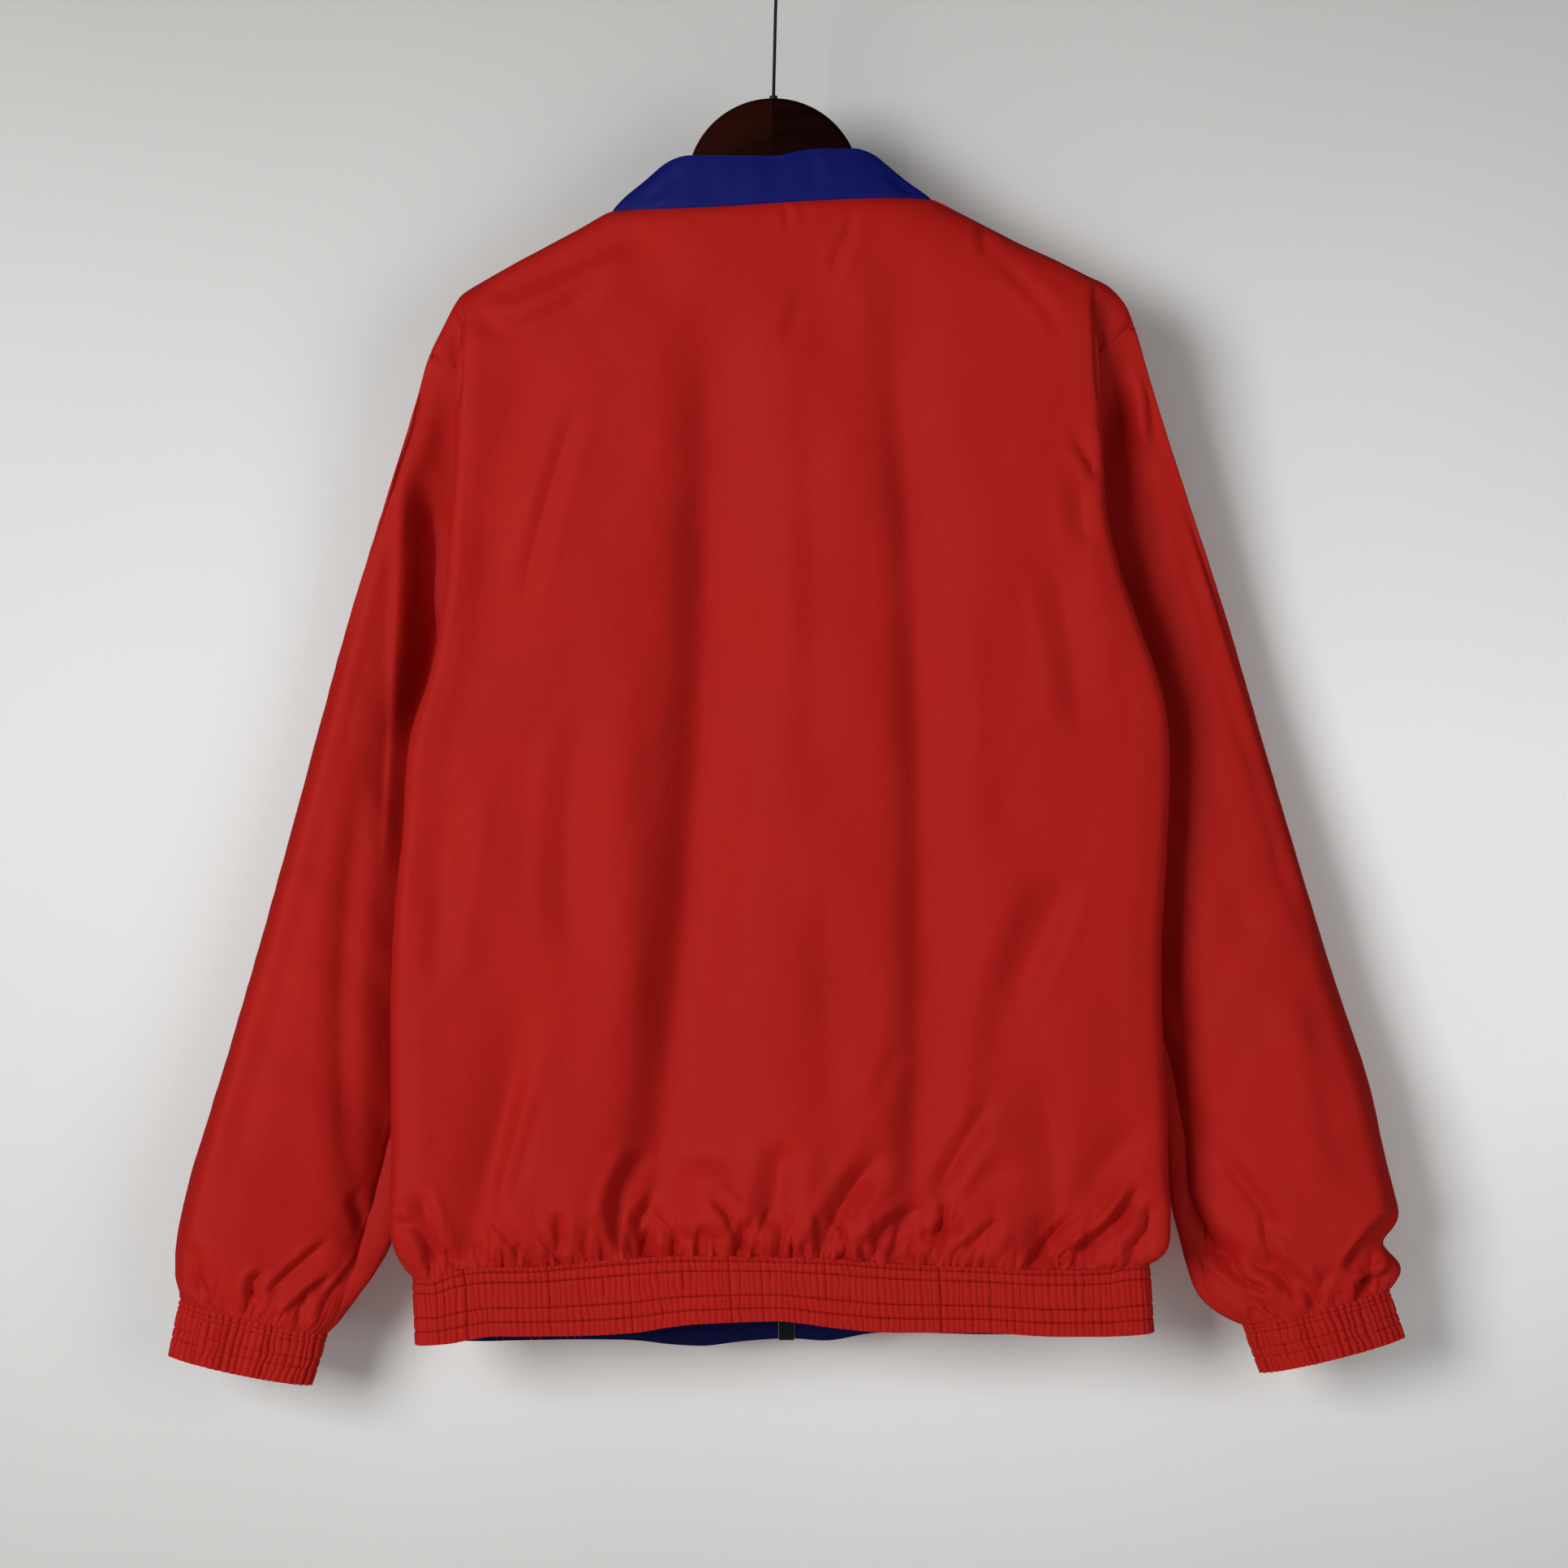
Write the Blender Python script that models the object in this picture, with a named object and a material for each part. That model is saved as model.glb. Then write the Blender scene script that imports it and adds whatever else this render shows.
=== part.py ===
"""A red stand-collar windbreaker on a wooden hanger, hung up and seen from behind.

Frame: the origin is the inner top of the hanger's hook, where a rail carries it. +Z is up, the
wearer's back faces -Y, the front faces +Y, and the wearer's left is at -X. The tables are in
millimetres, and MM turns them into metres.

Each cut piece starts as a sheet, a grid of points on the middle of the cloth. Rows run upwards and
columns run across. Pieces that are sewn together share the points and the directions of their
seam, and each sheet is then given its thickness, with a small gap to its neighbour.
"""
import math

import bmesh
import bpy
import numpy as np

MM = 0.001

# ---- driving dimensions, in millimetres ---------------------------------------------------------

CLOTH = 1.2                # shell cloth and its lining together
ELASTIC = 2.2              # hem and cuff bands: cloth, elastic and cloth
FACING = 1.0               # blue inner layer of the front hem
SEAM_GAP = 0.36            # between two pieces at a seam

BACK_PLANE = -20.0         # the back hangs this far behind the hanger's plane
UNDERARM_Z = -550.0
UNDERARM_CLEAR = (1.9, 1.6, 1.3)       # the sleeve starts this far out at the underarm and above
SHOULDER_ROLL = 40.0       # height over which the back curls over the hanger
CHEST_ROLL = 30.0          # the same for the fronts
CHEST_ROLL_DEPTH = 17.0
CHEST_FILL = 130.0         # height over which the fronts then reach their full depth

RIB_HEIGHT = 1.0           # gathered cloth of a band stands this far out
BACK_RIBS = 76
FRONT_RIBS = 24
CUFF_RIBS = 30
CUFF_HEIGHT = 34.0

ZIP_TAPE_HALF = 5.6
ZIP_TAPE_THICK = 1.0
ZIP_CHAIN_HALF = 2.4
ZIP_CHAIN_THICK = 2.6
ZIP_OPENING_HALF = 6.0     # the fronts end this far from the middle of the zip
ZIP_TOP_Z = -239.5
ZIP_SHIFT = 8.4            # the zip hangs this far to the right at the hem

WOOD_THICK = 13.0
HUMP_RADIUS = 56.0
HUMP_CENTRE_Z = -182.0
WOOD_UNDER_CLOTH = 2.6     # from the middle of the cloth down to the wood
WIRE_RADIUS = 1.05
HOOK_RADIUS = 21.0         # inner radius of the hook

# ---- tables, in millimetres ---------------------------------------------------------------------

# Top edge of the back: armhole, shoulder end, shoulder seam, neck seam and back down.
TOP_COLUMNS = ("column", "x", "z")
TOP_EDGE = [
    (0, -222.5, -291.3), (1, -218.9, -284.0), (2, -214.2, -274.5), (3, -207.9, -261.9),
    (4, -204.7, -256.7), (5, -200.0, -251.4), (6.2, -185.3, -242.5), (8.4, -159.1, -227.8),
    (10.6, -132.8, -214.2), (13, -104.0, -198.6), (15.6, -69.4, -198.7), (18, -36.0, -197.8),
    (20.5, -1.6, -195.6), (22.5, 24.5, -194.0), (25, 58.0, -192.3), (28, 101.5, -190.9),
    (30.5, 129.5, -204.7), (32.8, 155.8, -217.9), (35, 182.0, -229.9), (37, 205.6, -241.6),
    (38, 212.4, -244.6), (39, 218.7, -248.8), (40, 225.5, -256.2), (41, 230.2, -264.6),
    (42, 233.4, -273.0),
]
LAST = 42                  # last column of the back
SIDE = 5                   # columns of the rolled side edge
NECK_LEFT, NECK_RIGHT = 13, 28

# Rolled side edges of the back, as the camera sees them, and the radius of the roll.
EDGE_COLUMNS = ("z", "left", "right", "radius")
EDGES = [
    (-888, -231.0, 239.0, 8), (-874, -240.0, 242.0, 9), (-862, -242.5, 249.5, 10),
    (-837, -243.5, 252.0, 10), (-795, -245.5, 252.5, 10), (-700, -245.5, 249.0, 10),
    (-639, -242.0, 250.0, 10), (-587, -237.0, 255.5, 9.5), (-550, -233.5, 255.0, 9),
    (-524, -228.0, 252.0, 8.5), (-498, -220.5, 245.5, 8), (-461, -212.5, 232.0, 7.5),
    (-430, -207.5, 221.5, 7), (-404, -206.5, 215.5, 7), (-378, -205.5, 212.5, 7),
    (-315, -203.5, 209.5, 7), (-275, -202.0, 208.5, 6), (-260, -205.5, 211.0, 6),
]

# Side seams, from the hem to the underarm: how far inside the rolled edge, and how deep.
SIDE_SEAM_COLUMNS = ("z", "inside", "depth")
SIDE_SEAM = [
    (-888, 0, 8), (-862, 6, 8), (-837, 13, 7), (-795, 24, 6), (-700, 37, 7),
    (-639, 41, 9), (-587, 42, 12), (-550, 41, 14),
]

# Armhole seams. Share 0 is the underarm and share 1 is the shoulder end.
ARMHOLE_COLUMNS = ("share", "left_x", "right_x", "back_y", "front_y")
ARMHOLE = [
    (0.00, -192.5, 214.0, 14, 14), (0.05, -192.8, 213.5, 6, 23), (0.13, -193.3, 212.5, 2, 31),
    (0.26, -194.3, 211.0, 1, 37), (0.39, -195.8, 209.0, 0, 39), (0.52, -196.9, 206.6, 0, 38),
    (0.64, -197.3, 204.6, 0, 34), (0.75, -197.5, 203.6, 0, 29), (0.84, -198.8, 204.8, -1, 23),
    (0.91, -201.5, 209.0, -2, 17), (0.955, -207.9, 217.2, -2, 12), (0.985, -217.3, 225.8, -1, 7),
    (1.00, -222.5, 233.4, 1, 1),
]

# The hem band: its seam and its lower edge, across the back and across the fronts.
HEM_COLUMNS = ("x", "seam", "edge")
HEM_BACK = [
    (-231, -888, -929.5), (-205, -883.6, -927), (-184, -880.4, -923), (-152, -880, -922.8),
    (-121, -877.3, -922.3), (-90, -874.7, -920.5), (-59, -873.1, -915.8), (-28, -873.1, -914),
    (4, -873.7, -913.2), (35, -874.7, -917), (77, -877.8, -920.5), (129, -879.9, -920.5),
    (181, -882, -923.1), (207, -881.5, -923.1), (239, -878.3, -921.6),
]
HEM_FRONT = [
    (-231, -888, -929.5), (-189, -892, -932.9), (-135, -893, -932.9), (-87, -894, -934),
    (-55, -896, -938.2), (-28, -894.5, -935.6), (1, -893, -933), (16, -893, -933),
    (30, -894, -935), (52, -891.5, -931.3), (78, -889, -928.6), (131, -889, -929.8),
    (174, -887, -929), (239, -878.3, -921.6),
]

# Depth of the fronts at the zip.
FRONT_COLUMNS = ("z", "depth")
FRONT_DEPTH = [
    (-893, 38), (-850, 50), (-800, 60), (-700, 68), (-600, 70), (-500, 68), (-400, 62),
    (-330, 54), (-272, 42),
]
NECK_FRONT = (42.0, -272.0)            # depth and height of the neck seam at the zip

# Soft folds. A fold's middle runs through three points, it is wide_left and wide_right across,
# and deep is away from the viewer of the back (a ridge is negative).
FOLD_COLUMNS = ("x1", "z1", "x2", "z2", "x3", "z3", "wide_left", "wide_right", "deep")
BACK_FOLDS = [
    (-41, -250, -43, -520, -78, -868, 17, 34, 11.0),
    (72, -215, 95, -520, 91, -850, 15, 24, 8.0),
    (-150, -285, -180, -400, -190, -510, 22, 26, 4.0),
    (-92, -470, -94, -620, -92, -745, 20, 14, -4.5),
    (-170, -720, -176, -800, -196, -868, 16, 10, 6.0),
    (171, -640, 148, -720, 146, -770, 14, 22, 4.0),
    (168, -742, 176, -800, 172, -850, 18, 10, 4.5),
    (-208, -520, -218, -590, -228, -650, 14, 14, 3.0),
    (136, -470, 145, -530, 150, -590, 12, 16, 3.0),
    (236, -790, 203, -830, 168, -872, 12, 12, 5.0),
    (154, -812, 110, -845, 66, -870, 11, 11, 4.0),
]
FRONT_FOLDS = [
    (-120, -330, -128, -560, -112, -850, 30, 24, -8.0),
    (-62, -420, -66, -620, -60, -868, 18, 26, -5.0),
    (70, -380, 80, -600, 66, -860, 26, 18, -6.0),
    (140, -340, 150, -560, 146, -840, 24, 30, -8.0),
]
HEM_GATHER = 3.0           # depth of the gathers over the band
HEM_GATHER_HEIGHT = 60.0
HEM_BLOUSE = 7.0           # the cloth hangs this far out over the band
HEM_BLOUSE_Z = -850.0

# Sleeve sections from the upper arm to the cuff: outer and inner point, middle depth, half depth.
SLEEVE_COLUMNS = ("outer_x", "outer_z", "inner_x", "inner_z", "middle", "half")
SLEEVES = {
    "left": [
        (-310, -574, -201, -612, 41, 31), (-329, -645, -209, -681, 38, 32),
        (-347, -710, -218, -745, 34, 31), (-367, -779, -232, -809, 30, 30),
        (-381, -825, -243, -848, 27, 29), (-389, -863, -252, -874, 24, 28),
        (-390, -885, -265, -894, 21, 26), (-389, -900, -280, -914, 19, 22),
        (-386, -906, -292, -928, 18, 18.5),
    ],
    "right": [
        (333, -581, 222, -618, 41, 31), (352, -645, 231, -682, 38, 32),
        (371, -709, 245, -747, 34, 31), (391, -770, 257, -804, 30, 30),
        (401, -821, 259, -838, 27, 29), (409, -853, 266, -866, 24, 28),
        (401, -868, 276, -885, 22, 26), (409, -884, 289, -905, 20, 23),
        (400, -899, 307, -922, 18, 18.5),
    ],
}
# Lower ends of the cuffs: outer and inner point.
CUFF_ENDS = {"left": (-393, -941, -302, -960), "right": (410, -929, 318, -952)}

# Upper edge of the collar across the back.
COLLAR_COLUMNS = ("x", "z")
COLLAR_TOP = [
    (-78, -176), (-75, -173), (-69.5, -169), (-63, -165.8), (-53, -164.3), (1, -164.8),
    (9, -163.7), (19, -161.1), (35, -160.1), (56, -159.8), (63, -162.2), (71, -169.5), (77, -175.5),
]
COLLAR_LEAN = 3.5          # the back of the collar leans in by this much
COLLAR_NARROWS = 0.75      # its upper edge is this much narrower than the neck seam
COLLAR_FRONT_HEIGHT = 36.0

ROWS_BELOW = (0, 0.03, 0.075, 0.13, 0.20, 0.29, 0.40, 0.52, 0.66, 0.82, 1.0)
ROWS_ABOVE = (0.05, 0.13, 0.26, 0.39, 0.52, 0.64, 0.75, 0.84, 0.91, 0.955, 0.985, 1.0)
FRONT_ACROSS = 15
FRONT_SHOULDER = {"left": (0, 1, 2, 3, 4, 5, 7, 9, 11, 13), "right": (42, 41, 40, 39, 38, 37, 35, 33, 30, 28)}
SLEEVE_FAN = (0, 0.05, 0.14, 0.3, 0.55)
SLEEVE_STEPS = (0, 0.6, 1.2, 1.8, 2.4, 3, 3.6, 4.3, 5, 6, 7, 8)
BAND_ROWS = ((0.0, 0.7), (0.2, 0.6), (0.65, 1.0), (1.0, 0.8))     # share of height, share of rib

SIGN = {"left": -1.0, "right": 1.0}


# ---- curves -------------------------------------------------------------------------------------

def column(names, rows, name):
    """One named column of a table."""
    return np.array([row[names.index(name)] for row in rows], dtype=float)


def smooth(stations, values, at):
    """A smooth curve through a table's values that never overshoots them."""
    stations, values = np.asarray(stations, float), np.asarray(values, float)
    steps = np.diff(stations)
    slopes = np.diff(values) / steps
    tangents = np.concatenate(([slopes[0]], np.zeros(len(slopes) - 1), [slopes[-1]]))
    for i in range(1, len(slopes)):
        if slopes[i - 1] * slopes[i] > 0:
            tangents[i] = 2 * slopes[i - 1] * slopes[i] / (slopes[i - 1] + slopes[i])
    at = float(np.clip(at, stations[0], stations[-1]))
    k = int(np.clip(np.searchsorted(stations, at) - 1, 0, len(steps) - 1))
    share = (at - stations[k]) / steps[k]
    return between(values[k], tangents[k] * steps[k], values[k + 1], tangents[k + 1] * steps[k], share)


def between(start, leaving, end, arriving, share):
    """A cubic curve from start to end with the given directions at both ends."""
    s2, s3 = share * share, share ** 3
    return (start * (2 * s3 - 3 * s2 + 1) + leaving * (s3 - 2 * s2 + share)
            + end * (3 * s2 - 2 * s3) + arriving * (s3 - s2))


def look_up(names, rows, key, name, at):
    return smooth(column(names, rows, key), column(names, rows, name), at)


def ease(share):
    """0 to 1 with a soft start and end."""
    share = min(max(share, 0.0), 1.0)
    return share * share * (3 - 2 * share)


def unit(vector):
    return vector / np.linalg.norm(vector)


def fold_depth(folds, x, z):
    """Depth of all the soft folds at a place on the back or on the fronts."""
    total = 0.0
    for x1, z1, x2, z2, x3, z3, wide_left, wide_right, deep in folds:
        if not z3 <= z <= z1:
            continue
        middle = smooth((z3, z2, z1), (x3, x2, x1), z)
        ends = ease((z1 - z) / (0.35 * (z1 - z3))) * ease((z - z3) / (0.2 * (z1 - z3)))
        wide = wide_left if x < middle else wide_right
        total += deep * ends * math.exp(-((x - middle) / wide) ** 2)
    return total


# ---- the body: back and fronts ------------------------------------------------------------------

def top_point(index):
    """A point of the back's top edge: armhole end, shoulder seam or neck seam."""
    x = look_up(TOP_COLUMNS, TOP_EDGE, "column", "x", index)
    z = look_up(TOP_COLUMNS, TOP_EDGE, "column", "z", index)
    if index in (0, LAST):
        return np.array((x, 1.0, z))
    middle = (NECK_LEFT + NECK_RIGHT) / 2
    across = abs(index - middle) / (NECK_RIGHT - middle)
    neck_sag = 14.0 * (1 - min(across, 1.0) ** 4)
    return np.array((x, -neck_sag, z))


def on_chords(values):
    """Straight between the columns where the fronts' coarser shoulder seams meet the back's."""
    straight = list(values)
    for side in ("left", "right"):
        picks = sorted(FRONT_SHOULDER[side])
        for low, high in zip(picks, picks[1:]):
            for i in range(low + 1, high):
                share = (i - low) / (high - low)
                straight[i] = values[low] * (1 - share) + values[high] * share
    return straight


def armhole_point(side, share, face):
    """A point of the armhole seam, on its back or its front half."""
    x = look_up(ARMHOLE_COLUMNS, ARMHOLE, "share", side + "_x", share)
    y = look_up(ARMHOLE_COLUMNS, ARMHOLE, "share", face + "_y", share)
    top = top_point(0 if side == "left" else LAST)[2]
    return np.array((x, y, UNDERARM_Z + (top - UNDERARM_Z) * share))


def side_edge(side, z):
    return look_up(EDGE_COLUMNS, EDGES, "z", side, z)


def side_seam_point(side, z):
    inside = look_up(SIDE_SEAM_COLUMNS, SIDE_SEAM, "z", "inside", z)
    depth = look_up(SIDE_SEAM_COLUMNS, SIDE_SEAM, "z", "depth", z)
    x = side_edge(side, z) - SIGN[side] * inside
    if z >= UNDERARM_Z:
        return armhole_point(side, 0.0, "back")
    near = ease((z - UNDERARM_Z + 60) / 60)
    x = x + (armhole_point(side, 0.0, "back")[0] - side_edge(side, UNDERARM_Z) + SIGN[side] * 41) * near
    return np.array((x, depth, z))


def body_side(side, row):
    """The seam point at the side of a row: the side seam below the underarm, the armhole above."""
    if row > 1:
        return armhole_point(side, row - 1, "back")
    hem = HEM_BACK[0 if side == "left" else -1][1]
    return side_seam_point(side, hem + (UNDERARM_Z - hem) * row)


def row_height(row, hem, top):
    """Height of a column at a row. Rows 0 to 1 are below the underarm, 1 to 2 above it."""
    if row <= 1:
        return hem + (UNDERARM_Z - hem) * row
    return UNDERARM_Z + (top - UNDERARM_Z) * (row - 1)


def back_depth(x, z, low, high):
    """Depth of the flat of the back, with its folds and the gathers over the hem band."""
    seam = look_up(HEM_COLUMNS, HEM_BACK, "x", "seam", x)
    calm = ease((x - low) / 22) * ease((high - x) / 22) * ease((z - seam) / 14)
    above = max(z - seam, 0.0)
    gather = HEM_GATHER * math.exp(-above / HEM_GATHER_HEIGHT)
    gather *= math.sin(x / 4.6 + math.sin(x / 31)) + 0.5 * math.sin(x / 7.7)
    blouse = HEM_BLOUSE * math.exp(-((z - HEM_BLOUSE_Z) / 26) ** 2)
    return BACK_PLANE + calm * (fold_depth(BACK_FOLDS, x, z) + gather - blouse)


def rolled_edge(side, place, z, seam):
    """A point of the rolled side edge: place 0 is the seam, 3 the outermost point, 5 the flat."""
    edge = side_edge(side, z)
    radius = look_up(EDGE_COLUMNS, EDGES, "z", "radius", z)
    inward = -SIGN[side]
    if place >= 3:
        turn = math.radians(45 * (5 - place))
        return (edge + inward * 1.6 * radius * (1 - math.sin(turn)),
                BACK_PLANE + radius * (1 - math.cos(turn)))
    start = np.array((edge, BACK_PLANE + radius))
    reach = np.linalg.norm(seam[:2] - start)
    point = between(seam[:2], np.array((-0.3 * inward, -1.0)) * 0.8 * reach,
                    start, np.array((0.0, -1.0)) * 0.8 * reach, place / 3)
    return point[0], point[1]


def back_sheet():
    """The back, from the left side seam to the right one, hem to shoulder."""
    tops = on_chords([top_point(i) for i in range(LAST + 1)])
    flats = [(tops[i][0] - tops[SIDE][0]) / (tops[LAST - SIDE][0] - tops[SIDE][0]) for i in range(LAST + 1)]
    sheet = []
    for row in list(ROWS_BELOW) + [1 + share for share in ROWS_ABOVE]:
        points = []
        blend = max((row - 1.9) / 0.1, 0.0) ** 2
        for i in range(LAST + 1):
            side = "left" if i < LAST / 2 else "right"
            place = min(i, LAST - i)
            if place == 0:
                points.append(body_side(side, row))
                continue
            hem_x = edge_x = side_edge(side, HEM_BACK[0 if side == "left" else -1][1])
            if place > SIDE:
                hem_x = -220 + 448 * flats[i]
            hem = look_up(HEM_COLUMNS, HEM_BACK, "x", "seam", hem_x)
            z = row_height(row, hem, tops[i][2])
            if place < SIDE:
                x, y = rolled_edge(side, place, z, body_side(side, row))
            else:
                low, _ = rolled_edge("left", SIDE, z, None)
                high, _ = rolled_edge("right", SIDE, z, None)
                x = low + (high - low) * flats[i]
                y = back_depth(x, z, low, high)
            if row > 1:
                below = min(max(1 - (tops[i][2] - z) / SHOULDER_ROLL, 0.0), 1.0)
                y += (tops[i][1] - y) * (1 - math.sqrt(1 - below * below))
                x += (tops[i][0] - x) * blend
            points.append(np.array((x, y, z)))
        sheet.append(points)
    return np.array(sheet)


def zip_x(z):
    """The zip hangs a little askew."""
    return ZIP_SHIFT * (z - NECK_FRONT[1]) / (HEM_FRONT[6][1] - NECK_FRONT[1])


def front_top(side, j):
    """Top edge of a front: the shared shoulder seam, then the neck seam down to the zip."""
    shoulder = FRONT_SHOULDER[side]
    if j < len(shoulder):
        return top_point(shoulder[j])
    corner = top_point(shoulder[-1])
    turn = math.radians(90.0 * (j - len(shoulder) + 1) / (FRONT_ACROSS - len(shoulder) + 1))
    end_x = SIGN[side] * ZIP_OPENING_HALF
    return np.array((end_x + (corner[0] - end_x) * math.cos(turn),
                     corner[1] + (NECK_FRONT[0] - corner[1]) * math.sin(turn),
                     corner[2] + (NECK_FRONT[1] - corner[2]) * math.sin(turn) ** 2.2))


def front_sheet(side):
    """A front, from the side seam to the zip, hem to shoulder."""
    sheet = []
    for row in list(ROWS_BELOW) + [1 + share for share in ROWS_ABOVE]:
        seam = body_side(side, row)
        if row > 1:
            seam = armhole_point(side, row - 1, "front")
        points = [seam]
        for j in range(1, FRONT_ACROSS + 1):
            across = math.cos(math.radians(90.0 * j / FRONT_ACROSS))
            top = front_top(side, j)
            hem_edge = ZIP_SHIFT + SIGN[side] * ZIP_OPENING_HALF
            hem_x = hem_edge + (body_side(side, 0)[0] - hem_edge) * across
            z = row_height(row, look_up(HEM_COLUMNS, HEM_FRONT, "x", "seam", hem_x), top[2])
            edge = zip_x(z) + SIGN[side] * ZIP_OPENING_HALF
            x = edge + (seam[0] - edge) * across
            if row > 1:
                share = min(max(j - 5, 0) / 4, 1.0)
                late, early = max((row - 1.9) / 0.1, 0.0) ** 2, ease(row - 1)
                x += (top[0] - x) * (late * (1 - share) + early * share)
            out = (1 - across ** 2.3) ** 0.5
            y = seam[1] + (look_up(FRONT_COLUMNS, FRONT_DEPTH, "z", "depth", z) - seam[1]) * out
            y -= fold_depth(FRONT_FOLDS, x, z) * math.sin(math.radians(180.0 * j / FRONT_ACROSS))
            if row > 1:
                y = front_shoulder_depth(j, top, z, y)
            points.append(np.array((x, y, z)))
        sheet.append(points)
    return np.array(sheet)


def front_shoulder_depth(j, top, z, full):
    """The front rolls over the hanger at the shoulder seam, then fills out to its full depth."""
    drop = top[2] - z
    near = min(max(1 - drop / CHEST_ROLL, 0.0), 1.0)
    roll = CHEST_ROLL_DEPTH * math.sqrt(1 - near * near)
    roll *= min(0.75 + 0.05 * j, 1.0, (FRONT_ACROSS - j) / 6)
    return top[1] + roll + (full - top[1] - roll) * (1 - math.exp(-drop / CHEST_FILL))


# ---- sleeves ------------------------------------------------------------------------------------

def armhole_ring(side):
    """The armhole seam as a ring: shoulder end, down the back half, up the front half."""
    shares = list(ROWS_ABOVE[:-1])
    back = [armhole_point(side, share, "back") for share in reversed(shares)]
    front = [armhole_point(side, share, "front") for share in shares]
    ring = [armhole_point(side, 1.0, "back")] + back + [armhole_point(side, 0.0, "back")] + front
    low = len(back) + 1
    for step, clear in enumerate(UNDERARM_CLEAR):
        forward = 0.55 + 0.25 * np.array((step > 0, -2 * (step > 0)))
        for j, ahead in {low - step: forward[0], low + step: forward[1]}.items():
            ring[j] = ring[j] + np.array((SIGN[side] * (1.4 - ahead), ahead, -0.25)) * clear
    return ring


def sleeve_section(side, step, count):
    """A ring of the sleeve's tube, starting at its outer point and going round the back."""
    table = SLEEVES[side]
    rows = range(len(table))
    ox, oz, ix, iz, middle, half = (smooth(rows, column(SLEEVE_COLUMNS, table, name), step)
                                    for name in SLEEVE_COLUMNS)
    outer, inner = np.array((ox, middle, oz)), np.array((ix, middle, iz))
    ring = []
    for j in range(count):
        turn = 2 * math.pi * j / count
        along = math.cos(turn)
        ring.append((outer + inner) / 2 + (outer - inner) / 2 * along
                    + np.array((0.0, -half, 0.0)) * math.sin(turn))
    return ring


def sleeve_sheet(side):
    """A sleeve, from the armhole to the cuff. The columns close into a tube."""
    start = armhole_ring(side)
    count = len(start)
    first = sleeve_section(side, 0, count)
    along = unit(np.mean(sleeve_section(side, 1, count), axis=0) - np.mean(first, axis=0))
    sheet = []
    for share in SLEEVE_FAN:
        ring = []
        for j in range(count):
            reach = np.linalg.norm(first[j] - start[j])
            turn = 2 * math.pi * j / count
            away = max(math.sin(turn), 0.0)
            low = max(-math.cos(turn), 0.0) ** 2
            leaving = unit(np.array((SIGN[side] * (0.25 + 0.35 * abs(math.sin(turn)) + 0.45 * low),
                                     0.1 + 0.55 * away, -0.95 + 0.3 * abs(math.sin(turn)))))
            ring.append(between(start[j], leaving * reach * 0.75, first[j], along * reach * 0.8, share))
        sheet.append(ring)
    sheet += [sleeve_section(side, step, count) for step in SLEEVE_STEPS]
    return np.array(sheet)


# ---- collar -------------------------------------------------------------------------------------

def collar_sheet():
    """The stand collar, from the zip round the back to the zip."""
    left = [front_top("left", j) for j in range(FRONT_ACROSS, 9, -1)]
    right = [front_top("right", j) for j in range(10, FRONT_ACROSS + 1)]
    back = [top_point(i) for i in range(NECK_LEFT, NECK_RIGHT + 1)]
    base = left + back + right
    corner_z = {"left": COLLAR_TOP[0][1], "right": COLLAR_TOP[-1][1]}
    top = []
    for k, point in enumerate(base):
        if len(left) <= k < len(left) + len(back):
            x = point[0] * COLLAR_NARROWS
            y = point[1] + COLLAR_LEAN * (1 - abs(x / 78) ** 4)
            top.append(np.array((x, y, look_up(COLLAR_COLUMNS, COLLAR_TOP, "x", "z", x))))
            continue
        side = "left" if k < len(left) else "right"
        corner = base[len(left)] if side == "left" else base[len(left) + len(back) - 1]
        share = (point[1] - corner[1]) / (NECK_FRONT[0] - corner[1])
        height = (corner_z[side] - corner[2]) * (1 - share) + COLLAR_FRONT_HEIGHT * share
        narrow = COLLAR_NARROWS + (1 - COLLAR_NARROWS) * share ** 3
        top.append(np.array((point[0] * narrow, point[1], point[2] + height)))
    sheet = []
    for share in (0, 1 / 3, 2 / 3, 1):
        belly = 1.5 * math.sin(math.pi * share)
        ring = []
        for low, high in zip(base, top):
            out = np.array((low[0], low[1] - 15, 0.0))
            ring.append(low + (high - low) * share + unit(out) * belly)
        sheet.append(ring)
    return np.array(sheet)


# ---- from sheets to walls -----------------------------------------------------------------------

def sheet_faces(sheet, closed):
    """Corner places of each face of a sheet, as (row, column) pairs."""
    rows, columns = sheet.shape[:2]
    across = columns if closed else columns - 1
    for r in range(rows - 1):
        for c in range(across):
            d = (c + 1) % columns
            yield (r, c), (r, d), (r + 1, d), (r + 1, c)


def shared_normals(sheets):
    """Outward directions at every point. Points on a seam share theirs with the next sheet."""
    totals = {}
    for sheet, closed, outward in sheets.values():
        for corners in sheet_faces(sheet, closed):
            a, b, c, d = (sheet[place] for place in corners)
            normal = np.cross(c - a, d - b) * outward
            for place in corners:
                key = tuple(np.round(sheet[place], 2))
                totals[key] = totals.get(key, 0) + normal
    return {name: np.array([[unit(totals[tuple(np.round(point, 2))]) for point in row] for row in sheet])
            for name, (sheet, closed, outward) in sheets.items()}


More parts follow.
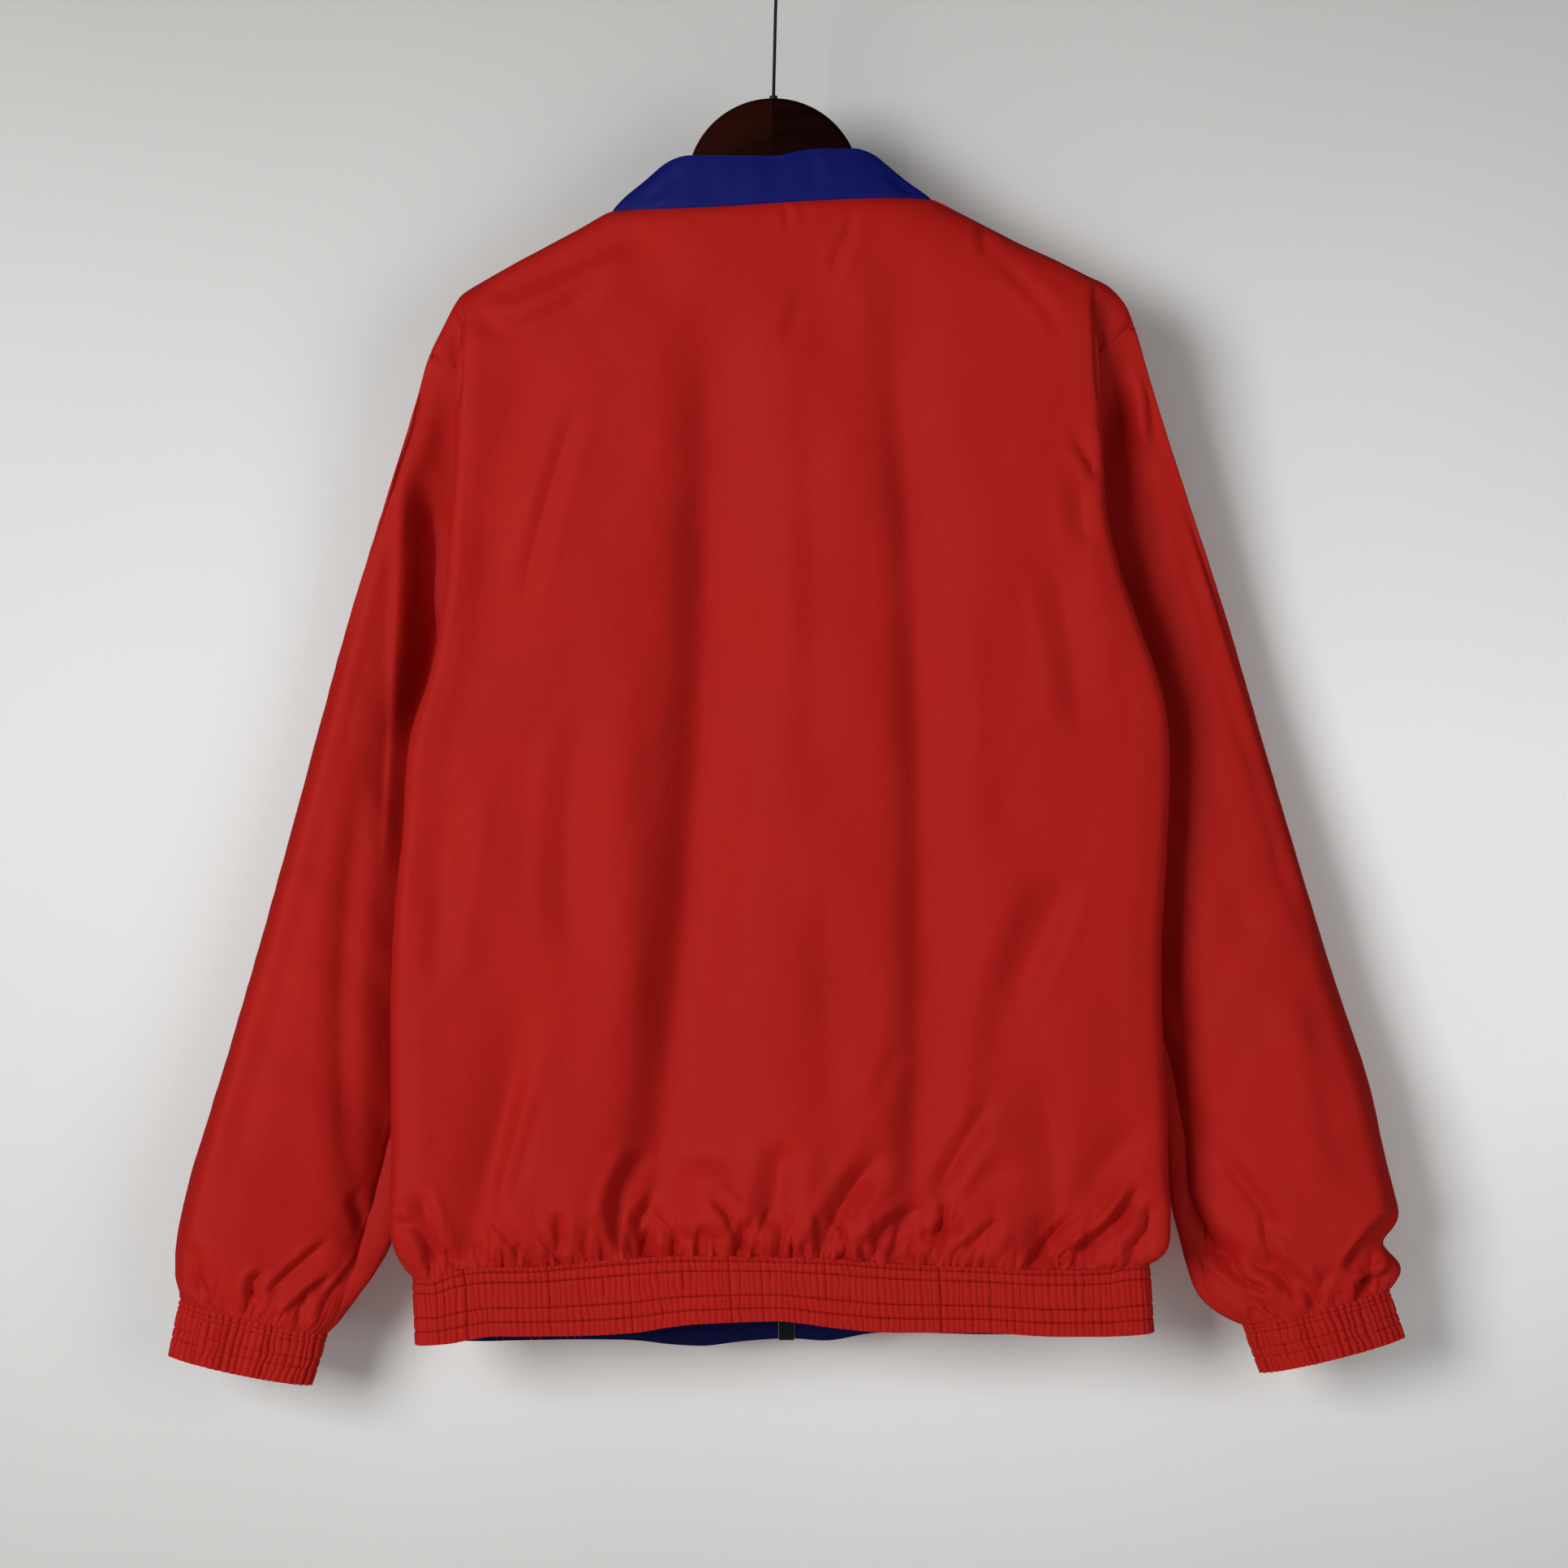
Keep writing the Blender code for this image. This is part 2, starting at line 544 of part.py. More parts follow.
def pulled_back(sheet, closed, normals):
    """The sheet with its open edges drawn in by half a seam gap, square to the seam's direction."""
    drawn = sheet.copy()

    def drawn_in(edge, inner, facing):
        level = [v - facing[k] * (v @ facing[k]) for k, v in enumerate(inner - edge)]
        return np.array([unit(v) * SEAM_GAP / 2 for v in level])

    for edge, inner in ((0, 1), (-1, -2)):
        drawn[edge] += drawn_in(sheet[edge], sheet[inner], normals[edge])
        if not closed:
            drawn[:, edge] += drawn_in(sheet[:, edge], sheet[:, inner], normals[:, edge])
    return drawn


def add_object(name, points, faces, material):
    mesh = bpy.data.meshes.new(name)
    mesh.from_pydata([tuple(np.asarray(p) * MM) for p in points], [], faces)
    mesh.materials.append(material)
    body = bpy.data.objects.new(name, mesh)
    bpy.context.scene.collection.objects.link(body)
    return body


def add_wall(name, sheet, closed, outward, normals, thickness, material):
    """A closed wall of even thickness round a sheet."""
    drawn = pulled_back(sheet, closed, normals)
    rows, columns = sheet.shape[:2]
    outer = (drawn + normals * thickness / 2).reshape(-1, 3)
    inner = (drawn - normals * thickness / 2).reshape(-1, 3)
    count = rows * columns

    def place(corner, layer):
        return layer * count + corner[0] * columns + corner[1]

    faces = []
    for corners in sheet_faces(sheet, closed):
        if outward < 0:
            corners = corners[::-1]
        faces.append([place(corner, 0) for corner in corners])
        faces.append([place(corner, 1) for corner in reversed(corners)])
    edges = []
    across = columns if closed else columns - 1
    for c in range(across):
        d = (c + 1) % columns
        edges += [((0, d), (0, c)), ((rows - 1, c), (rows - 1, d))]
    if not closed:
        for r in range(rows - 1):
            edges += [((r, 0), (r + 1, 0)), ((r + 1, columns - 1), (r, columns - 1))]
    for start, end in edges:
        if outward < 0:
            start, end = end, start
        a, b, c, d = place(start, 0), place(end, 0), place(end, 1), place(start, 1)
        if tuple(np.round(sheet[start], 2)) < tuple(np.round(sheet[end], 2)):
            faces += [[a, b, c], [a, c, d]]
        else:
            faces += [[a, b, d], [b, c, d]]
    return add_object(name, np.concatenate((outer, inner)), faces, material)


# ---- elastic bands ------------------------------------------------------------------------------

def even_path(points, count, closed):
    """The path cut into equal lengths, on a smooth curve through its points."""
    points = [np.asarray(p) for p in points]
    if closed:
        points = points + [points[0]]
    lengths = np.concatenate(([0.0], np.cumsum([np.linalg.norm(b - a) for a, b in zip(points, points[1:])])))
    places = np.linspace(0, lengths[-1], count + 1)[:count if closed else count + 1]
    axes = np.array(points).T
    return np.array([[np.interp(place, lengths, axis) for axis in axes] for place in places])


def path_outward(path, closed, outward):
    """Level directions out of a band, square to its path."""
    ahead = np.roll(path, -1, axis=0) if closed else np.concatenate((path[1:], path[-1:]))
    behind = np.roll(path, 1, axis=0) if closed else np.concatenate((path[:1], path[:-1]))
    along = ahead - behind
    level = np.stack((along[:, 1], -along[:, 0], np.zeros(len(path))), axis=1) * outward
    return level / np.linalg.norm(level, axis=1)[:, None]


def add_elastic(name, top, bottom, ribs, plain, closed, outward, material, corners=(None, None)):
    """A gathered band between two paths: ribs outside, plain inside, and a plain last stretch.

    The corners are the directions that the band's ends share with the bands beside it.
    """
    count = 2 * ribs + plain
    high, low = even_path(top, count, closed), even_path(bottom, count, closed)
    down = [unit(v) for v in low - high]
    high = high + np.array(down) * SEAM_GAP
    if not closed:
        for path in (high, low):
            path[0] += unit(path[1] - path[0]) * SEAM_GAP / 2
            path[-1] += unit(path[-2] - path[-1]) * SEAM_GAP / 2
    out = path_outward(high, closed, outward)
    for end, corner in zip((0, -1), corners):
        if corner is not None:
            out[end] = corner
    crest = np.array([1.0 if k % 2 and k < 2 * ribs else 0.0 for k in range(len(high))])
    layers = [high + (low - high) * share + out * (ELASTIC / 2 + RIB_HEIGHT * rise * crest)[:, None]
              for share, rise in BAND_ROWS]
    wide = len(high)
    inner_top = (high - out * ELASTIC / 2)[::2]
    inner_low = (low - out * ELASTIC / 2)[::2]
    points = np.concatenate(layers + [inner_top, inner_low])
    first_inner = len(layers) * wide
    inside = len(inner_top)
    faces = []
    last = len(layers) - 1
    across = wide if closed else wide - 1
    for c in range(across):
        d = (c + 1) % wide
        faces += [[r * wide + c, r * wide + d, (r + 1) * wide + d, (r + 1) * wide + c] for r in range(last)]
    for k in range(across // 2):
        n = (k + 1) % inside
        a, b, e = 2 * k, 2 * k + 1, (2 * k + 2) % wide
        ia, ie = first_inner + k, first_inner + n
        ja, je = ia + inside, ie + inside
        faces += [[ie, ia, ja, je], [ia, b, a], [ia, ie, b], [ie, e, b]]
        low_a, low_b, low_e = (last * wide + q for q in (a, b, e))
        faces += [[ja, low_a, low_b], [ja, low_b, je], [je, low_b, low_e]]
    if not closed:
        ends = [r * wide for r in range(len(layers))]
        faces.append(ends + [first_inner + inside, first_inner])
        ends = [r * wide + wide - 1 for r in range(len(layers))]
        faces.append((ends + [first_inner + 2 * inside - 1, first_inner + inside - 1])[::-1])
    if outward > 0:
        faces = [face[::-1] for face in faces]
    return add_object(name, points, faces, material)


def band_corner(back, front, side):
    """The direction out of the hem at a side seam, shared by the bands that meet there."""
    corner = 0 if side == "left" else -1
    return unit(path_outward(back, False, 1.0)[corner] + path_outward(front, False, SIGN[side])[0])


# ---- hanger, hook and zip -----------------------------------------------------------------------

def extruded(name, outline, depth, centre_y, material, holes=()):
    """A flat outline in X and Z, given a depth along Y."""
    mesh = bmesh.new()
    loops = []
    for loop in [outline] + list(holes):
        corners = [mesh.verts.new((x * MM, (centre_y - depth / 2) * MM, z * MM)) for x, z in loop]
        loops.append([mesh.edges.new((a, b)) for a, b in zip(corners, corners[1:] + corners[:1])])
    filled = bmesh.ops.triangle_fill(mesh, use_beauty=True, edges=[e for loop in loops for e in loop])
    front = [f for f in filled["geom"] if isinstance(f, bmesh.types.BMFace)]
    bmesh.ops.dissolve_limit(mesh, angle_limit=0.01, verts=mesh.verts[:], edges=mesh.edges[:])
    front = mesh.faces[:]
    moved = bmesh.ops.extrude_face_region(mesh, geom=front)
    corners = [v for v in moved["geom"] if isinstance(v, bmesh.types.BMVert)]
    bmesh.ops.translate(mesh, verts=corners, vec=(0, depth * MM, 0))
    bmesh.ops.recalc_face_normals(mesh, faces=mesh.faces[:])
    data = bpy.data.meshes.new(name)
    mesh.to_mesh(data)
    mesh.free()
    data.materials.append(material)
    body = bpy.data.objects.new(name, data)
    bpy.context.scene.collection.objects.link(body)
    return body


def rounded(body, width, segments):
    bevel = body.modifiers.new("rounded edges", "BEVEL")
    bevel.width = width * MM
    bevel.segments = segments
    bevel.limit_method = "ANGLE"
    bevel.angle_limit = math.radians(50)
    return body


def hanger_outline():
    """The half-round top and two arms that follow the shoulders, just under the cloth."""
    def arm(side, picks):
        line = [top_point(i) for i in picks]
        out = []
        for before, point, after in zip(line, line[1:], line[2:]):
            along = unit((after - before)[[0, 2]])
            down = np.array((-along[1], along[0])) * SIGN[side]
            out.append(point[[0, 2]] + (down if down[1] < 0 else -down) * WOOD_UNDER_CLOTH)
        return out
    left = arm("left", (1, 3, 5, 7, 9, 11, 13, 14)) + [(-92, -205), (-68, -203), (-58, -195)]
    right = [(58, -193), (70, -199), (90, -199)] + arm("right", (27, 28, 30, 33, 35, 37, 39, 41))
    turns = [math.pi * (1 - k / 14) for k in range(15)]
    hump = [(HUMP_RADIUS * math.cos(t), HUMP_CENTRE_Z + HUMP_RADIUS * math.sin(t)) for t in turns]
    under = [(right[-1][0] - 3, -272), (196, -273), (120, -244), (40, -223), (0, -219),
             (-40, -223), (-120, -249), (-188, -281), (left[0][0] + 3, -284)]
    return [tuple(p) for p in left] + hump + [tuple(p) for p in right] + under


def add_hook(wood_top, material):
    """The wire: a straight stem, a bend to the side and the round hook over the rail."""
    bend = HOOK_RADIUS + WIRE_RADIUS
    centre_z = -HOOK_RADIUS
    points = [(0.0, wood_top + 0.3), (0.2, -115), (0.7, -95), (1.2, -72), (1.6, -60), (4.0, -52), (9.5, -45)]
    turns = [math.radians(-46 + 14 * k) for k in range(18)]
    points += [(bend * math.cos(t), centre_z + bend * math.sin(t)) for t in turns]
    path = [np.array((x, 0.0, z)) for x, z in points]
    sides, rings, faces = 10, [], []
    for k, place in enumerate(path):
        along = unit(path[min(k + 1, len(path) - 1)] - path[max(k - 1, 0)])
        across = np.cross(along, (0.0, 1.0, 0.0))
        for i in range(sides):
            turn = 2 * math.pi * i / sides
            rings.append(place + (across * math.cos(turn) + np.array((0.0, math.sin(turn), 0.0))) * WIRE_RADIUS)
    for k in range(len(path) - 1):
        for i in range(sides):
            n = (i + 1) % sides
            faces.append([k * sides + n, k * sides + i, (k + 1) * sides + i, (k + 1) * sides + n])
    faces.append(list(range(sides)))
    faces.append([(len(path) - 1) * sides + i for i in range(sides)][::-1])
    return add_object("hanger_hook", rings, faces, material)


def zip_path():
    """Middle of the zip from the collar down to the box, with the depth of the fronts."""
    lines = [front_sheet("left")[:, -1], front_sheet("right")[:, -1]]
    points = [(lines[0][k] + lines[1][k]) / 2 for k in range(len(lines[0]))]
    low = (points[0] + np.array((0.0, 0.0, -28.0)))
    return [low] + points + [np.array((0.0, NECK_FRONT[0], ZIP_TOP_Z))]


def add_zip_chain(material):
    """Tape with the closed chain standing proud of it on both sides."""
    t, h = ZIP_TAPE_THICK / 2, ZIP_CHAIN_THICK / 2
    w, c = ZIP_TAPE_HALF, ZIP_CHAIN_HALF
    section = [(-w, -t), (-c, -t), (-c, -h), (c, -h), (c, -t), (w, -t),
               (w, t), (c, t), (c, h), (-c, h), (-c, t), (-w, t)]
    path = zip_path()
    points, faces = [], []
    for k, place in enumerate(path):
        along = unit(path[min(k + 1, len(path) - 1)] - path[max(k - 1, 0)])
        across = np.array((1.0, 0.0, 0.0))
        out = unit(np.cross(along, across))
        points += [place + across * x + out * y for x, y in section]
    size = len(section)
    for k in range(len(path) - 1):
        for i in range(size):
            n = (i + 1) % size
            faces.append([k * size + i, k * size + n, (k + 1) * size + n, (k + 1) * size + i])
    for first, flip in ((0, 1), ((len(path) - 1) * size, -1)):
        for quad in ((0, 1, 10, 11), (1, 2, 3, 4, 7, 8, 9, 10), (4, 5, 6, 7)):
            faces.append([first + i for i in quad][::-1 * flip])
    return add_object("zip_chain", points, faces, material)


def add_block(name, low, high, material):
    corners = [(x, y, z) for x in (low[0], high[0]) for y in (low[1], high[1]) for z in (low[2], high[2])]
    faces = [(0, 1, 3, 2), (4, 6, 7, 5), (0, 4, 5, 1), (2, 3, 7, 6), (0, 2, 6, 4), (1, 5, 7, 3)]
    return add_object(name, corners, faces, material)


def join_block(body, low, high):
    """Add a block to a body as one solid."""
    block = add_block(body.name + "_block", low, high, body.data.materials[0])
    block.hide_render = True
    block.display_type = "WIRE"
    union = body.modifiers.new("block", "BOOLEAN")
    union.operation = "UNION"
    union.solver = "EXACT"
    union.object = block


def add_slider(material):
    """Zip slider: two plates joined above the chain, and a bridge that holds the pull."""
    y = NECK_FRONT[0]
    inside, plate = ZIP_CHAIN_THICK / 2 + 0.3, 1.6
    top = ZIP_TOP_Z + 3.4
    slider = add_block("zip_slider", (-4, y + inside, top - 10), (4, y + inside + plate, top), material)
    join_block(slider, (-4, y - inside - plate, top - 10), (4, y - inside, top))
    join_block(slider, (-1.2, y - inside - 0.8, top - 3), (1.2, y + inside + 0.8, top - 0.4))
    face = y + inside + plate
    for z in (PULL_Z + 1.4, PULL_Z - 2.4):
        join_block(slider, (-1, face - 0.5, z), (1, face + 3.6, z + 1.0))
    join_block(slider, (-1, face + 2.8, PULL_Z - 2.0), (1, face + 3.8, PULL_Z + 2.0))
    return slider


PULL_Z = ZIP_TOP_Z - 1.6
PULL_Y = NECK_FRONT[0] + ZIP_CHAIN_THICK / 2 + 0.3 + 1.6 + 1.5


def add_pull(material):
    """Pull tab: a bar through the bridge, two legs and a rounded grip."""
    half, thick = 2.9, 1.3
    grip = [(half * math.cos(math.radians(a)), PULL_Z - 21 + half * math.sin(math.radians(a)))
            for a in range(-180, 1, 30)]
    outline = [(-half, PULL_Z + 0.6)] + grip + [(half, PULL_Z + 0.6)]
    hole = [(-1.5, PULL_Z - 0.6), (-1.5, PULL_Z - 6.5), (1.5, PULL_Z - 6.5), (1.5, PULL_Z - 0.6)]
    return extruded("zip_pull", outline, thick, PULL_Y, material, holes=[hole])


# ---- materials ----------------------------------------------------------------------------------

def new_material(name, colour, roughness, metallic=0.0):
    material = bpy.data.materials.new(name)
    material.use_nodes = True
    shader = material.node_tree.nodes["Principled BSDF"]
    shader.inputs["Base Color"].default_value = (*colour, 1.0)
    shader.inputs["Roughness"].default_value = roughness
    shader.inputs["Metallic"].default_value = metallic
    return material


# ---- assembly -----------------------------------------------------------------------------------

def bottom_path(row, table):
    """Lower edge of the hem band under a row of the body."""
    path = []
    for point in row:
        edge = look_up(HEM_COLUMNS, table, "x", "edge", point[0])
        path.append(np.array((point[0] * 0.992, point[1] * 0.97, edge)))
    return path


def cuff_paths(side, ring):
    """Upper and lower rings of a cuff, below the last ring of the sleeve."""
    ox, oz, ix, iz = CUFF_ENDS[side]
    shift_outer = np.array((ox, 0.0, oz)) - np.array((ring[0][0], 0.0, ring[0][2]))
    middle = len(ring) // 2
    shift_inner = np.array((ix, 0.0, iz)) - np.array((ring[middle][0], 0.0, ring[middle][2]))
    lower = []
    for point in ring:
        share = (point[0] - ring[0][0]) / (ring[middle][0] - ring[0][0])
        lower.append(point + shift_outer * (1 - share) + shift_inner * share)
    return list(ring), lower


def main():
    for old in list(bpy.data.objects):
        bpy.data.objects.remove(old)
    red = new_material("red_shell", (0.40, 0.017, 0.011), 0.55)
    blue = new_material("blue_shell", (0.006, 0.011, 0.12), 0.6)
    black = new_material("zip_black", (0.012, 0.012, 0.016), 0.45)
    metal = new_material("zip_metal", (0.05, 0.05, 0.055), 0.35, 0.8)
    wood = new_material("dark_wood", (0.014, 0.003, 0.002), 0.3)
    wire = new_material("black_wire", (0.01, 0.01, 0.01), 0.4, 0.6)

    # name: sheet, closed into a tube, sign that turns its faces outwards
    sheets = {
        "back": (back_sheet(), False, 1.0),
        "front_left": (front_sheet("left"), False, -1.0),
        "front_right": (front_sheet("right"), False, 1.0),
        "sleeve_left": (sleeve_sheet("left"), True, -1.0),
        "sleeve_right": (sleeve_sheet("right"), True, 1.0),
        "collar": (collar_sheet(), False, 1.0),
    }
    normals = shared_normals(sheets)
    level_seams(sheets, normals)
    for name, (sheet, closed, outward) in sheets.items():
        material = blue if name == "collar" else red
        add_wall(name, sheet, closed, outward, normals[name], CLOTH, material)

    back = sheets["back"][0]
    corners = {side: band_corner(back[0], sheets["front_" + side][0][0], side) for side in SIGN}
    add_elastic("hem_band_back", back[0], bottom_path(back[0], HEM_BACK),
                BACK_RIBS, 0, False, 1.0, red, (corners["left"], corners["right"]))
    for side, turn in SIGN.items():
        path = sheets["front_" + side][0][0]
        add_elastic("hem_band_front_" + side, path, bottom_path(path, HEM_FRONT),
                    FRONT_RIBS, 6, False, turn, red, (corners[side], None))
        add_facing("hem_facing_" + side, path, turn, blue)
        ring = sheets["sleeve_" + side][0][-1]
        upper, lower = cuff_paths(side, ring)
        add_elastic("cuff_" + side, upper, lower, CUFF_RIBS, 0, True, turn, red)

    add_zip_chain(black)
    bottom = zip_path()[0]
    add_block("zip_box", bottom + np.array((-5.0, -1.8, -13.3)), bottom + np.array((5.0, 1.8, -0.3)), black)
    add_slider(metal)
    add_pull(metal)

    rounded(extruded("hanger_wood", hanger_outline(), WOOD_THICK, 0.0, wood), 5.0, 3)
    add_hook(HUMP_CENTRE_Z + HUMP_RADIUS, wire)


def level_seams(sheets, normals):
    """Seams to the elastic bands are cut level, so their directions lie in the band's plane."""
    normals["back"][-1] = np.array([unit(v) for v in on_chords(normals["back"][-1])])
    for name in ("back", "front_left", "front_right"):
        sheet, closed, outward = sheets[name]
        normals[name][0] = path_outward(sheet[0], closed, outward)
    for side in SIGN:
        name = "sleeve_" + side
        sheet, closed, outward = sheets[name]
        normals[name][0][sheet.shape[1] // 2] = unit(np.array((-SIGN[side] * 0.5, 0.0, -0.86)))
        normals[name][-1] = path_outward(sheet[-1], closed, outward)
    for side in SIGN:
        shared = band_corner(sheets["back"][0][0], sheets["front_" + side][0][0], side)
        normals["back"][0][0 if side == "left" else -1] = normals["front_" + side][0][0] = shared


def add_facing(name, path, outward, material):
    """The blue inner layer of the front hem, laid inside the band."""
    path = np.array(path[3:])
    out = path_outward(path, False, outward)
    inside = path - out * (ELASTIC / 2 + FACING / 2 + 0.3)
    low = np.array([(p[0] * 0.992, p[1] * 0.97, look_up(HEM_COLUMNS, HEM_FRONT, "x", "edge", p[0]))
                    for p in inside])
    sheet = np.array([low, inside * 0.5 + low * 0.5, inside + np.array((0, 0, 6.0))])
    add_wall(name, sheet, False, outward, np.array([out] * 3), FACING, material)


main()
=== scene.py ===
"""Looks of the red stand-collar windbreaker that hangs on its wooden hanger, seen from behind.

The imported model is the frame. Every cloth piece is rebuilt here from the same few named tables as
its solid, on a much finer grid, with its folds, gathers, seams and stitches. Lengths in the tables
are millimetres.
"""
import math

import bpy
import numpy as np
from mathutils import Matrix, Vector


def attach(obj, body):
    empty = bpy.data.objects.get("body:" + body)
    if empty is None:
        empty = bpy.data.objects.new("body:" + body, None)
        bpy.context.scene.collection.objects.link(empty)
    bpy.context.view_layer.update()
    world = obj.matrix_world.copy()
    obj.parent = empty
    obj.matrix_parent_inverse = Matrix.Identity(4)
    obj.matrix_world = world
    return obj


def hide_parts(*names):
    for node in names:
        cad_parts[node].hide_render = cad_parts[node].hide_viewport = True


MM = 0.001
SIGN = {"left": -1.0, "right": 1.0}

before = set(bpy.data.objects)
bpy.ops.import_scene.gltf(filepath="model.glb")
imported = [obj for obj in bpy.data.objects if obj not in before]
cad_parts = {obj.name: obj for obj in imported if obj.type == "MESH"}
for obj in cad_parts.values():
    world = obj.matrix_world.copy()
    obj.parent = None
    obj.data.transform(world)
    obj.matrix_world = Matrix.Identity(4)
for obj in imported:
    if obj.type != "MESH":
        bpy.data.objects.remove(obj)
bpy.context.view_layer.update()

# ---- sizes and tables of the cut pieces ---------------------------------------------------------

CLOTH, ELASTIC, FACING = 1.2, 2.2, 1.0          # thickness of the walls
BACK_PLANE, UNDERARM_Z = -20.0, -550.0
UNDERARM_CLEAR = (1.9, 1.6, 1.3)                # how far the sleeve keeps off the side seam
SHOULDER_ROLL, CHEST_ROLL, CHEST_ROLL_DEPTH, CHEST_FILL = 40.0, 30.0, 17.0, 130.0
ZIP_OPENING_HALF, ZIP_TOP_Z, ZIP_SHIFT = 6.0, -239.5, 8.4
NECK_FRONT = (42.0, -272.0)                     # y and z of the neck's front

TOP_COLUMNS = ("column", "x", "z")
TOP_EDGE = [
    (0, -222.5, -291.3), (1, -218.9, -284.0), (2, -214.2, -274.5), (3, -207.9, -261.9),
    (4, -204.7, -256.7), (5, -200.0, -251.4), (6.2, -185.3, -242.5), (8.4, -159.1, -227.8),
    (10.6, -132.8, -214.2), (13, -104.0, -198.6), (15.6, -69.4, -198.7), (18, -36.0, -197.8),
    (20.5, -1.6, -195.6), (22.5, 24.5, -194.0), (25, 58.0, -192.3), (28, 101.5, -190.9),
    (30.5, 129.5, -204.7), (32.8, 155.8, -217.9), (35, 182.0, -229.9), (37, 205.6, -241.6),
    (38, 212.4, -244.6), (39, 218.7, -248.8), (40, 225.5, -256.2), (41, 230.2, -264.6),
    (42, 233.4, -273.0),
]
LAST, SIDE, NECK_LEFT, NECK_RIGHT = 42, 5, 13, 28

EDGE_COLUMNS = ("z", "left", "right", "radius")
EDGES = [
    (-888, -231.0, 239.0, 8), (-879, -237.0, 240.5, 8.5), (-873, -240.5, 249.0, 9),
    (-862, -242.5, 251.5, 10), (-837, -243.5, 252.0, 10), (-795, -245.5, 252.5, 10),
    (-700, -245.5, 249.0, 10),
    (-639, -242.0, 250.0, 10), (-587, -237.0, 255.5, 9.5), (-550, -233.5, 255.0, 9),
    (-524, -228.0, 252.0, 8.5), (-498, -220.5, 245.5, 8), (-461, -212.5, 232.0, 7.5),
    (-430, -207.5, 221.5, 7), (-404, -206.5, 215.5, 7), (-378, -205.5, 212.5, 7),
    (-315, -203.5, 209.5, 7), (-275, -202.0, 208.5, 6), (-260, -205.5, 211.0, 6),
]
SIDE_SEAM_COLUMNS = ("z", "inside", "depth")
SIDE_SEAM = [
    (-888, 0, 8), (-862, 6, 8), (-837, 13, 7), (-795, 24, 6), (-700, 37, 7),
    (-639, 41, 9), (-587, 42, 12), (-550, 41, 14),
]
ARMHOLE_COLUMNS = ("share", "left_x", "right_x", "back_y", "front_y")
ARMHOLE = [
    (0.00, -192.5, 214.0, 14, 14), (0.05, -192.8, 213.5, 6, 23), (0.13, -193.3, 212.5, 2, 31),
    (0.26, -194.3, 211.0, 1, 37), (0.39, -195.8, 209.0, 0, 39), (0.52, -196.9, 206.6, 0, 38),
    (0.64, -197.3, 204.6, 0, 34), (0.75, -197.5, 203.6, 0, 29), (0.84, -198.8, 204.8, -1, 23),
    (0.91, -201.5, 209.0, -2, 17), (0.955, -207.9, 217.2, -2, 12), (0.985, -217.3, 225.8, -1, 7),
    (1.00, -222.5, 233.4, 1, 1),
]
HEM_COLUMNS = ("x", "seam", "edge")
HEM_BACK = [
    (-231, -888, -929.5), (-205, -883.6, -927), (-184, -880.4, -923), (-152, -880, -922.8),
    (-121, -877.3, -922.3), (-90, -874.7, -920.5), (-59, -873.1, -915.8), (-28, -873.1, -914),
    (4, -873.7, -913.2), (35, -874.7, -917), (77, -877.8, -920.5), (129, -879.9, -920.5),
    (181, -882, -923.1), (207, -881.5, -923.1), (239, -878.3, -921.6),
]
HEM_FRONT = [
    (-231, -888, -929.5), (-189, -892, -932.9), (-135, -893, -932.9), (-87, -894, -934),
    (-55, -896, -938.2), (-28, -894.5, -935.6), (1, -893, -933), (16, -893, -933),
    (30, -894, -935), (52, -891.5, -931.3), (78, -889, -928.6), (131, -889, -929.8),
    (174, -887, -929), (239, -878.3, -921.6),
]
ZIP_FOOT_Z = HEM_FRONT[6][1]                    # where the zip meets the front's hem seam
HEM_LEFT, HEM_ACROSS = -220, 448                # x of the back's flat part at the hem
FRONT_COLUMNS = ("z", "depth")
FRONT_DEPTH = [
    (-893, 38), (-850, 50), (-800, 60), (-700, 68), (-600, 70), (-500, 68), (-400, 62),
    (-330, 54), (-272, 42),
]
SLEEVE_COLUMNS = ("outer_x", "outer_z", "inner_x", "inner_z", "middle", "half")
SLEEVES = {
    "left": [
        (-310, -574, -201, -612, 41, 31), (-329, -645, -209, -681, 38, 32),
        (-347, -710, -218, -745, 34, 31), (-367, -779, -232, -809, 30, 30),
        (-381, -825, -243, -848, 27, 29), (-389, -863, -252, -874, 24, 28),
        (-390, -885, -265, -894, 21, 26), (-389, -900, -280, -914, 19, 22),
        (-386, -906, -292, -928, 18, 18.5),
    ],
    "right": [
        (333, -581, 222, -618, 41, 31), (352, -645, 231, -682, 38, 32),
        (371, -709, 245, -747, 34, 31), (391, -770, 257, -804, 30, 30),
        (401, -821, 259, -838, 27, 29), (409, -853, 266, -866, 24, 28),
        (396, -867, 271, -885, 22, 26), (409, -884, 281, -907, 20, 23),
        (400, -899, 307, -922, 18, 18.5),
    ],
}
CUFF_ENDS = {"left": (-393, -941, -302, -960), "right": (410, -929, 318, -952)}
COLLAR_COLUMNS = ("x", "z")
COLLAR_TOP = [
    (-78, -176), (-75, -173), (-69.5, -169), (-63, -165.8), (-53, -164.3), (1, -164.8),
    (9, -163.7), (19, -161.1), (35, -160.1), (56, -159.8), (63, -162.2), (71, -169.5), (77, -175.5),
]
COLLAR_LEAN, COLLAR_NARROWS, COLLAR_FRONT_HEIGHT = 3.5, 0.75, 36.0

